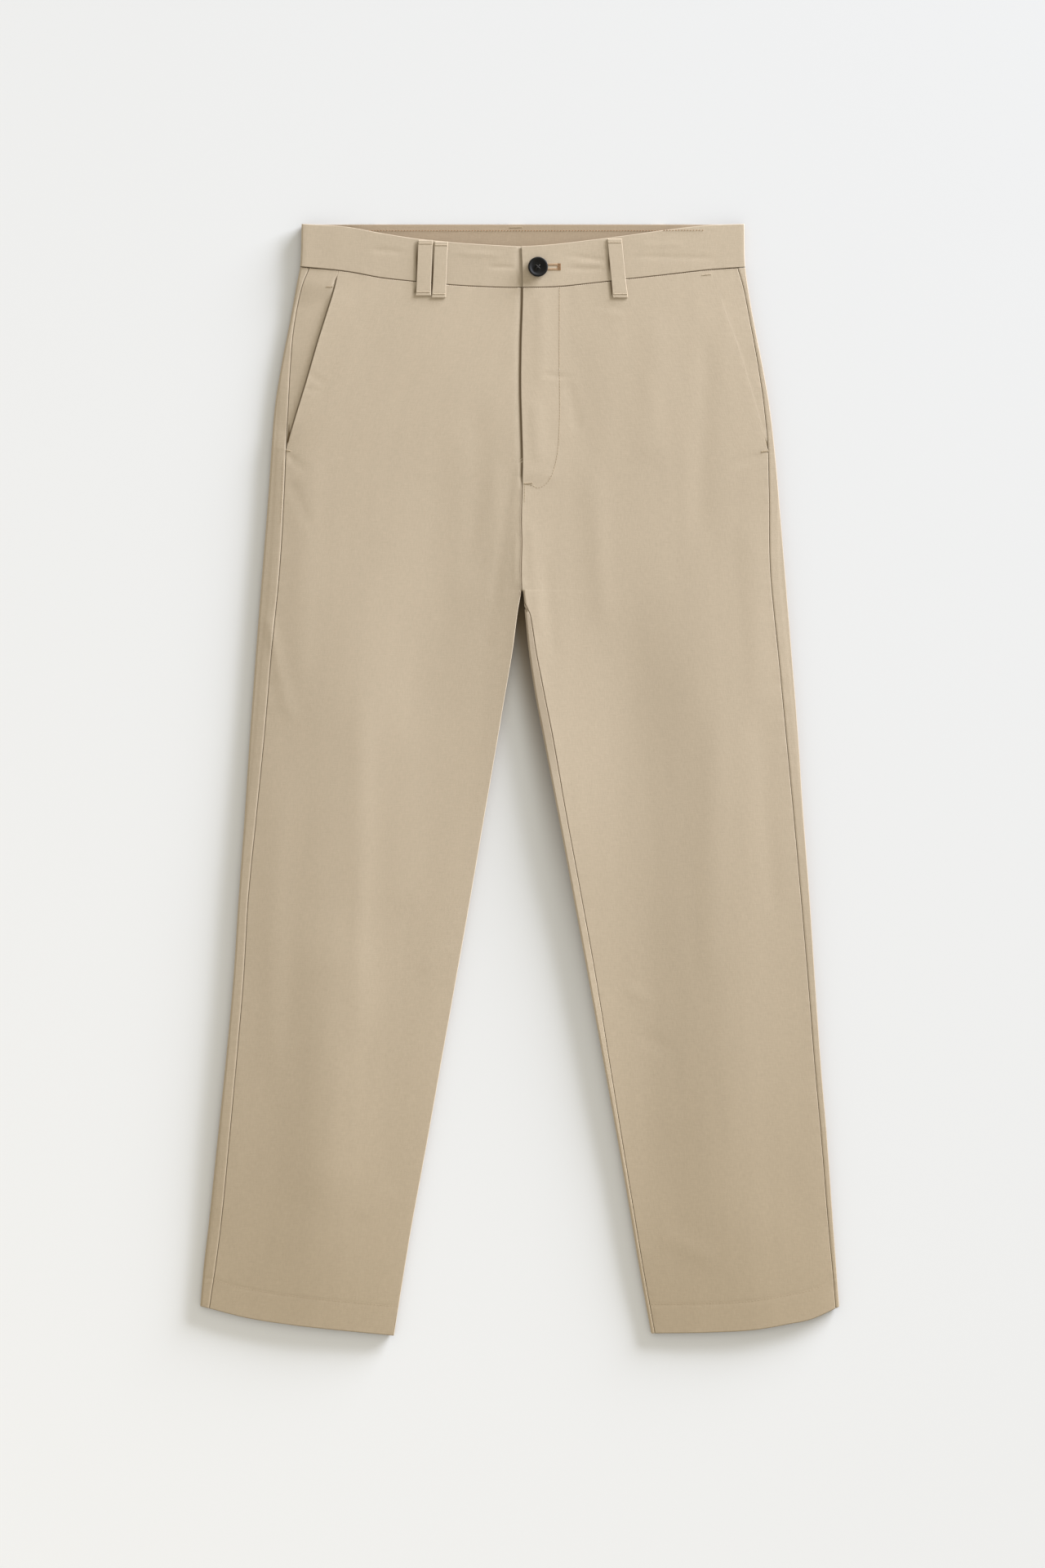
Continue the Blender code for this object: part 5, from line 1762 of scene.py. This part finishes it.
# %% Stitches
PITCH = 2.7 * MM                        # from stitch to stitch
STITCH_LENGTH = 2.2 * MM
THREAD_WIDTH = 0.42 * MM
RAY_START = 50 * MM
NUDGE = 0.1 * MM                        # along a line, to find its direction
RING = 6
# the last column is the shade painted where a stitch goes into the cloth
Ring = namedtuple("Ring", "along radius lift dive")
RINGS = (
    Ring(-1.0, 0.5, -1.1, 1.0),
    Ring(-0.72, 0.95, -0.25, 0.45),
    Ring(0.0, 1.0, 0.2, 0.0),
    Ring(0.72, 0.95, -0.25, 0.45),
    Ring(1.0, 0.5, -1.1, 1.0),
)
DOWN, UP = Vector((0, 0, -1)), Vector((0, 0, 1))
depsgraph = bpy.context.evaluated_depsgraph_get()
cloth_objects = [o for o in bpy.context.scene.objects if o.type == "MESH" and "wall" in o.modifiers]
trees = [BVHTree.FromObject(piece, depsgraph) for piece in cloth_objects]
print(f"{len(trees)} pieces of cloth to sew on")


def set_on_cloth(points):
    """The points' places on the cloth from above, and the cloth's normals there."""
    places, normals = [], []
    for x, y in points:
        hits = [tree.ray_cast(Vector((x, y, RAY_START)), DOWN)[:2] for tree in trees]
        hits = [hit for hit in hits if hit[0] is not None] or [(Vector((x, y, 0)), UP)]
        place, normal = max(hits, key=lambda hit: hit[0].z)
        places.append(place)
        normals.append(normal if normal.z > 0 else -normal)
    return np.array(places), np.array(normals)


def sew(name, points, directions, finish, length=STITCH_LENGTH, width=THREAD_WIDTH):
    """One mesh of stitches at these points, along these directions."""
    places, normals = set_on_cloth(points)
    along = np.column_stack([directions, np.zeros(len(directions))])
    along -= normals * np.sum(along * normals, axis=1, keepdims=True)
    along /= np.linalg.norm(along, axis=1, keepdims=True)
    side = np.cross(normals, along)
    corner = np.linspace(0, 2 * math.pi, RING, endpoint=False)
    rings, turns, hole_shades = [], [], []
    for ring in RINGS:
        for angle in corner:
            across = side * math.cos(angle) + normals * math.sin(angle)
            lift = normals * ring.lift
            rings.append(places + along * ring.along * length / 2 + (across * ring.radius + lift) * width / 2)
            turns.append((angle / (2 * math.pi), ring.along * length / 2, 0))
            hole_shades.append(ring.dive)
    vertices = np.stack(rings, axis=1)
    quads = [
        (r * RING + k, r * RING + (k + 1) % RING, (r + 1) * RING + (k + 1) % RING, (r + 1) * RING + k)
        for r in range(len(RINGS) - 1)
        for k in range(RING)
    ]
    last = (len(RINGS) - 1) * RING
    caps = [tuple(range(RING))[::-1], tuple(range(last, last + RING))]
    per = len(RINGS) * RING
    faces = [tuple(i + per * n for i in face) for n in range(len(points)) for face in quads + caps]
    mesh = bpy.data.meshes.new(name)
    mesh.from_pydata(vertices.reshape(-1, 3), [], faces)
    mesh.shade_smooth()
    store(mesh, "grain", "FLOAT_VECTOR", np.tile(np.array(turns), (len(points), 1)))
    store(mesh, "dive", "FLOAT", np.tile(np.array(hole_shades), len(points)))
    mesh.materials.append(finish)
    print(f"{name}: {len(points)} stitches")
    return place_piece(name, mesh)


def along_line(points, pitch=PITCH):
    """Middles and directions of stitches along a line of points in metres."""
    place = np.concatenate([[0], np.cumsum(np.hypot(*np.diff(points, axis=0).T))])
    middles = np.arange(pitch / 2, place[-1], pitch)
    before, after = (
        np.column_stack([np.interp(at, place, points[:, axis]) for axis in (0, 1)])
        for at in (middles - NUDGE, middles + NUDGE)
    )
    return (before + after) / 2, after - before

# %% [markdown]
# Inside the waistband a row of amber stitches runs just below its upper edge, and this row is what shows
# above the dipping front. The fly is held by its curved line, the hems by a faint line across each leg.

# %% Long rows
ROW_STEP = 4 * MM
Stitch = namedtuple("Stitch", "length width")
INSIDE_ROW_Y = 510.1 * MM
INSIDE_ROW_X = (-141 * MM, 173 * MM)
INSIDE_PITCH = 2.74 * MM
INSIDE_STITCH = Stitch(1.25 * MM, 0.8 * MM)
HEM_ROW_UP = 27.3 * MM
HEM_ROW_X = {"right": (-284 * MM, -117 * MM), "left": (122 * MM, 289 * MM)}
HEM_PITCH = 3 * MM
HEM_STITCH = Stitch(1.5 * MM, 0.3 * MM)


def row_along_x(x_range, y_at, step=ROW_STEP):
    """Points along a row whose y follows from x."""
    x = np.arange(*x_range, step)
    return np.column_stack([x, y_at(x)])


inside_row = row_along_x(INSIDE_ROW_X, lambda x: np.full_like(x, INSIDE_ROW_Y))
sew("waistband_inside_stitches", *along_line(inside_row, INSIDE_PITCH), AMBER, *INSIDE_STITCH)
sew("fly_stitches", *along_line(line(FLY_STITCHING)), TONAL)
for side, x_range in HEM_ROW_X.items():
    hem_row = row_along_x(x_range, lambda x: HEM_CURVE[side](x) + HEM_ROW_UP)
    sew(f"{side}_hem_stitches", *along_line(hem_row, HEM_PITCH), TONAL, *HEM_STITCH)

# %% [markdown]
# Shorter rows: dark stitches in the ditch of the waist seam, all the way round the front but for the belt
# loops, the edge stitching below the right pocket, and the short row that closes the fly.

# %% Short rows
SIDE_ROW_OFF = 1.9 * MM
SIDE_ROW_Y = (238 * MM, 301 * MM)
SIDE_WIDTH = 0.36 * MM
BELOW_FLY = (Point(4.9, 273.5), Point(4.6, 258.5))
BELOW_FLY_WIDTH = 0.38 * MM
DITCH_PITCH = 1.95 * MM
DITCH_STITCH = Stitch(1.5 * MM, 0.5 * MM)
DITCH_LOW = 0.35 * MM                   # of the stitches below the seam line
DITCH_X = {
    "right_outer": (-202, -97),
    "right_inner": (-66, 0),
    "left_inner": (3, 85),
    "left_outer": (101, 204),
}
for name, (start, end) in DITCH_X.items():
    row = row_along_x((start * MM, end * MM), lambda x: SEAM_Y(x) - DITCH_LOW)
    sew(f"{name}_waist_stitches", *along_line(row, DITCH_PITCH), DARK, *DITCH_STITCH)
y = np.arange(*SIDE_ROW_Y, ROW_STEP)
side_row = np.column_stack([SEAM["right"](y) - SIDE_ROW_OFF, y])
sew("right_side_stitches", *along_line(side_row), TONAL, width=SIDE_WIDTH)
sew("below_fly_stitches", *along_line(line(BELOW_FLY)), TONAL, width=BELOW_FLY_WIDTH)

# %% [markdown]
# A tack is a dense bar of stitches across a short line, sewn where a seam is pulled: at the ends of the
# pocket mouths, at the end of the fly, at the centre back and on both ends of the belt loops in front.

# %% Tacks
Tack = namedtuple("Tack", "name x1 y1 x2 y2 width")
TACKS = (
    Tack("fly_tack", 4.0, 274.6, 12.0, 274.9, 1.9),
    Tack("right_pocket_tack", -216.6, 305.4, -212.6, 305.2, 1.8),
    Tack("left_pocket_tack", 224.4, 304.3, 231.6, 305.0, 1.9),
    Tack("left_pocket_upper_tack", 169.5, 468.4, 178.0, 469.3, 1.6),
    Tack("right_pocket_upper_tack", -179.5, 457.6, -173.6, 457.6, 1.4),
    Tack("centre_back_tack", -9.5, 513.0, 2.5, 513.2, 1.2),
)
TACK_PITCH = 0.5 * MM
TACK_THREAD = 0.46 * MM
LOOP_TACK_WIDTH = 1.7 * MM
LOOP_TACK_IN = 0.5 * MM                 # from the loop's edges


def tack(name, start, end, width, finish=TONAL):
    """Stitches side by side, square to the line from start to end."""
    points, directions = along_line(np.array([start, end]), TACK_PITCH)
    across = np.column_stack([-directions[:, 1], directions[:, 0]])
    return sew(name, points, across, finish, length=width, width=TACK_THREAD)


for row in TACKS:
    finish = SANDY if row.name == "left_pocket_upper_tack" else TONAL
    tack(row.name, (row.x1 * MM, row.y1 * MM), (row.x2 * MM, row.y2 * MM), row.width * MM, finish)
for row in LOOPS:
    _, low, high = loop_span(row)
    half = row.width / 2 * MM - LOOP_TACK_IN
    for end, x, y in (("upper", row.top_x, high - LOOP_TACK), ("lower", row.bottom_x, low + LOOP_TACK)):
        tack(f"{row.name}_{end}_tack", (x * MM - half, y), (x * MM + half, y), LOOP_TACK_WIDTH, SANDY)

# %% [markdown]
# ## Button and buttonhole
#
# The button is a turned disc of near-black plastic: a dished middle, a raised rim and four holes, crossed
# by dark thread. A profile is spun round with a Screw modifier, and four cylinders cut the holes. The
# result is kept as one mesh, and the cutters go. Its buttonhole shows beside it, edged with close stitches.

# %% Button
BUTTON_X = 17.1 * MM
BUTTON_Y = 475.9 * MM
BUTTON_RADIUS = 9.25 * MM
BUTTON_THICK = 2.8 * MM
BUTTON_STANDOFF = 0.3 * MM
BUTTON_STEPS = 72
HOLE_RADIUS = 0.9 * MM
HOLE_SPACING = 3.6 * MM
HOLE_STEPS = 24
MERGE_WITHIN = 0.01 * MM
RIM_ROUND = 0.12 * MM
RIM_ANGLE = math.radians(50)
SHARP_ANGLE = math.radians(35)
ProfileRow = namedtuple("ProfileRow", "radius height")
BUTTON_PROFILE = (              # shares of radius and thickness, from the middle out and down the rim
    ProfileRow(0.0, 0.56),
    ProfileRow(0.30, 0.56),
    ProfileRow(0.52, 0.58),
    ProfileRow(0.62, 0.62),
    ProfileRow(0.70, 0.74),
    ProfileRow(0.76, 0.88),
    ProfileRow(0.82, 0.97),
    ProfileRow(0.88, 1.0),
    ProfileRow(0.94, 0.95),
    ProfileRow(0.985, 0.82),
    ProfileRow(1.0, 0.62),
    ProfileRow(0.985, 0.36),
    ProfileRow(0.93, 0.14),
    ProfileRow(0.82, 0.0),
    ProfileRow(0.0, 0.0),
)

PLASTIC_TONES = ((0.007, 0.007, 0.007), (0.014, 0.013, 0.012))
PLASTIC_ROUGHNESS = (0.5, 0.15)         # least, and what scuffs add
SCUFFS_PER_METRE = 700
SCUFF_DEPTH = 0.01 * MM
SWIRLS_PER_METRE = 240

plastic = Finish(bpy.data.materials.new("black_plastic"), {"Specular IOR Level": 0.15})
scuffs = plastic.noise(plastic.place(), SCUFFS_PER_METRE, 3.0)
least, added = PLASTIC_ROUGHNESS
plastic.feed("Roughness", least + scuffs.within(0.35, 0.75) * added)
swirl = plastic.noise(plastic.place(), SWIRLS_PER_METRE, 2.0)
plastic.feed("Base Color", plastic.mix(swirl.within(0.3, 0.75), *map(tone, PLASTIC_TONES)))
plastic.bump(scuffs, SCUFF_DEPTH)
print(f"plastic: {len(plastic.tree.nodes)} nodes")

# %% [markdown]
# The profile is spun, cut and rounded by modifiers in that order. Reading the evaluated mesh bakes them in.

# %% Turning the button
mesh = bpy.data.meshes.new("button_profile")
points = [(row.radius * BUTTON_RADIUS, 0, row.height * BUTTON_THICK) for row in BUTTON_PROFILE]
mesh.from_pydata(points, [(i, i + 1) for i in range(len(points) - 1)], [])
disc = put("button_disc", mesh)
turn = disc.modifiers.new("turned", "SCREW")
turn.steps = BUTTON_STEPS
turn.render_steps = BUTTON_STEPS
turn.use_merge_vertices = True
turn.merge_threshold = MERGE_WITHIN
cutters = []
for right, up in ((1, 1), (1, -1), (-1, 1), (-1, -1)):
    place = (right * HOLE_SPACING / 2, up * HOLE_SPACING / 2, 0)
    size = {"radius": HOLE_RADIUS, "depth": 4 * BUTTON_THICK}
    bpy.ops.mesh.primitive_cylinder_add(vertices=HOLE_STEPS, location=place, **size)
    cutters.append(bpy.context.object)
    cut = disc.modifiers.new("thread_hole", "BOOLEAN")
    cut.object = cutters[-1]
rim = disc.modifiers.new("rounded", "BEVEL")
rim.width = RIM_ROUND
rim.segments = 2
rim.angle_limit = RIM_ANGLE
turned_disc = disc.evaluated_get(bpy.context.evaluated_depsgraph_get())
button_mesh = bpy.data.meshes.new_from_object(turned_disc)
for helper in (*cutters, disc):
    bpy.data.objects.remove(helper, do_unlink=True)
button_mesh.materials.clear()
button_mesh.materials.append(plastic.owner)
button_mesh.shade_smooth()
button_mesh.set_sharp_from_angle(angle=SHARP_ANGLE)
seat = float(band_height("left", BUTTON_X)) + BUTTON_STANDOFF
button = put("turned_button", button_mesh)
button.location = (BUTTON_X, BUTTON_Y, seat)
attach(button, "root")
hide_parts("button")
print(f"button {2 * BUTTON_RADIUS / MM:.1f} mm across, {len(button_mesh.vertices)} points")

# %% [markdown]
# The thread that holds the button crosses between its holes. A beveled curve does for each of the two
# crossing bars, which dip into the holes at their ends.

# %% Thread on the button
BAR_RADIUS = 0.5 * MM
Bend = namedtuple("Bend", "share lift")
BAR_PATH = (Bend(-1.0, -1.2), Bend(-0.85, 0.2), Bend(0, 0.75), Bend(0.85, 0.2), Bend(1.0, -1.2))


def thread_bar(name, right):
    """A bar of thread from one hole to the opposite one."""
    data = bpy.data.curves.new(name, "CURVE")
    data.dimensions = "3D"
    data.bevel_depth = BAR_RADIUS
    data.bevel_resolution = 3
    reach = HOLE_SPACING / 2
    top = seat + BUTTON_PROFILE[0].height * BUTTON_THICK
    spline = data.splines.new("BEZIER")
    spline.bezier_points.add(len(BAR_PATH) - 1)
    for point, bend in zip(spline.bezier_points, BAR_PATH):
        along = bend.share * reach
        point.co = (BUTTON_X + along * right, BUTTON_Y + along, top + bend.lift * MM)
        point.handle_left_type = "AUTO"
        point.handle_right_type = "AUTO"
    data.materials.append(BUTTON_THREAD)
    bar = put(name, data)
    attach(bar, "root")


thread_bar("button_thread_rising", 1)
thread_bar("button_thread_falling", -1)
print(f"2 bars of thread, {2 * BAR_RADIUS / MM:.1f} mm thick")

# %% [markdown]
# Beside the button shows the end of its buttonhole: two rails of close stitches with a slit between them,
# closed by a darker bar.

# %% Buttonhole
HOLE_RAIL_X = (25.0 * MM, 35.6 * MM)
HOLE_RAIL_Y = (478.1 * MM, 473.8 * MM)
RAIL_WIDTH = 2.7 * MM
HOLE_BAR_X = (35.6 * MM, 37.8 * MM)
BAR_WIDTH = 1.2 * MM
rail_start, rail_end = HOLE_RAIL_X
upper_rail, lower_rail = HOLE_RAIL_Y
for number, y in enumerate(HOLE_RAIL_Y):
    tack(f"buttonhole_rail_{number + 1}", (rail_start, y), (rail_end, y), RAIL_WIDTH, RAIL)
for number, x in enumerate(np.linspace(*HOLE_BAR_X, 3)):
    tack(f"buttonhole_bar_{number + 1}", (x, lower_rail - MM), (x, upper_rail + MM), BAR_WIDTH, AMBER)

# %% [markdown]
# ## Floor and light
#
# The trousers lie on pale paper. One large soft lamp stands low at the upper right, so every fold has a
# light side and a shaded one, and the rest of the light comes from all round. The lamp's light weakens
# across the floor, and the paper's tone is graded against that. In the narrow gap below the crotch light goes
# to and fro between the cloth of both legs and comes out brown and dim, more than thin shells give, so a
# brown shade is painted on the paper there.

# %% Floor
FLOOR_SIZE = 6.0
FLOOR_POINTS = 7
FLOOR_BELOW = 0.05 * MM
PAPER = (1.0, 1.0, 0.985)
FLOOR_NEAR = 0.655                      # its tone towards the lamp
FLOOR_FAR = 0.905                       # and away from it
FLOOR_REACH = 1.2
GAP_TOP_Y = 125 * MM                    # a level near the crotch
GAP_EDGE_X = 6.5 * MM                   # of the left leg's inner edge there
GAP_SLANT = 0.172
GAP_SHADE_X = (26 * MM, 2 * MM)         # how far from the left leg the shade begins, and where it is full
UNDER_LEG_X = (-60 * MM, -20 * MM)
GAP_SHADE_Y = (-300 * MM, 150 * MM)
UNDER_SEAT_Y = (300 * MM, 200 * MM)
GAP_PAINTED_SHADE = (0.20, 0.15, 0.09)

paper = Finish(bpy.data.materials.new("pale_paper"), {"Roughness": 0.95, "Specular IOR Level": 0.1})
floor_x, floor_y = paper.place().part("X"), paper.place().part("Y")
towards_lamp = (floor_x + floor_y).within(-FLOOR_REACH, FLOOR_REACH)
graded_paper = paper.mix(towards_lamp, tone(PAPER, FLOOR_FAR), tone(PAPER, FLOOR_NEAR))
# a brown shade painted on the paper beside the left leg, below the crotch
left_leg_x = GAP_EDGE_X - (floor_y - GAP_TOP_Y) * GAP_SLANT
from_left_leg = left_leg_x - floor_x
beside_leg = from_left_leg.within(*GAP_SHADE_X) * from_left_leg.within(*UNDER_LEG_X)
towards_crotch = floor_y.within(*GAP_SHADE_Y) * floor_y.within(*UNDER_SEAT_Y)
shaded = beside_leg * beside_leg * (3 - beside_leg * 2) * towards_crotch * towards_crotch
paper.feed("Base Color", paper.mix(shaded, graded_paper, tone(GAP_PAINTED_SHADE)))
floor_range = (-FLOOR_SIZE / 2, FLOOR_SIZE / 2)
floor_mesh = grid_mesh("floor", strip(floor_range, floor_range, 0, FLOOR_POINTS, FLOOR_POINTS))
floor_mesh.materials.append(paper.owner)
floor = put("floor", floor_mesh)
floor.location.z = -FLOOR_BELOW
floor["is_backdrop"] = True
print(f"floor {FLOOR_SIZE:.0f} m square, {FLOOR_BELOW / MM:.2f} mm below the cloth")

# %% [markdown]
# The lamp is a rectangle of light that faces the middle of the floor. The rest of the room is a plain
# glow, bright and warm from low down and dimmer from straight above, where the camera hangs.

# %% Light
LAMP_DISTANCE = 6.0
LAMP_WIDTH = 4.0
LAMP_HEIGHT = 1.3
LAMP_TURN = math.radians(45)            # from +X towards +Y
LAMP_RISE = math.radians(8)
LAMP_POWER = 1400
LAMP_COLOUR = (0.84, 0.885, 1.0)
AROUND = 0.98
ROOM_COLOUR = (1.0, 0.966, 0.88)
OVERHEAD = 0.45                         # of that light's strength, straight above
OVERHEAD_FROM = 0.3                     # how steep, from 0 at the horizon to 1 above, it begins to weaken

lamp_data = bpy.data.lights.new("soft_lamp", "AREA")
lamp_data.shape = "RECTANGLE"
lamp_data.size = LAMP_WIDTH
lamp_data.size_y = LAMP_HEIGHT
lamp_data.energy = LAMP_POWER
lamp_data.color = LAMP_COLOUR
lamp = put("soft_lamp", lamp_data)
level = math.cos(LAMP_RISE)
direction = Vector((level * math.cos(LAMP_TURN), level * math.sin(LAMP_TURN), math.sin(LAMP_RISE)))
lamp.location = direction * LAMP_DISTANCE
lamp.rotation_euler = direction.to_track_quat("Z", "Y").to_euler()
room = Finish(bpy.data.worlds.new("room"), {"Strength": AROUND}, "Background")
upwards = room.place("Generated").part("Z").within(OVERHEAD_FROM, 1)
room.feed("Color", room.mix(upwards, tone(ROOM_COLOUR), tone(ROOM_COLOUR, OVERHEAD)))
bpy.context.scene.world = room.owner
bpy.context.scene.view_settings.view_transform = "Standard"
print(f"lamp {lamp.location.z:.2f} m high")

# %% [markdown]
# ## Size
#
# Both boxes, of the imported model and of the dressed trousers, are printed side by side. The dressed
# trousers must stay the size of the imported model.

# %% Size
visual_box = [list(corner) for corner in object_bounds()]
for name, box in (("packed", cad_box), ("dressed", visual_box)):
    print(name, [round(1000 * (high - low), 1) for low, high in zip(*box)], "mm")
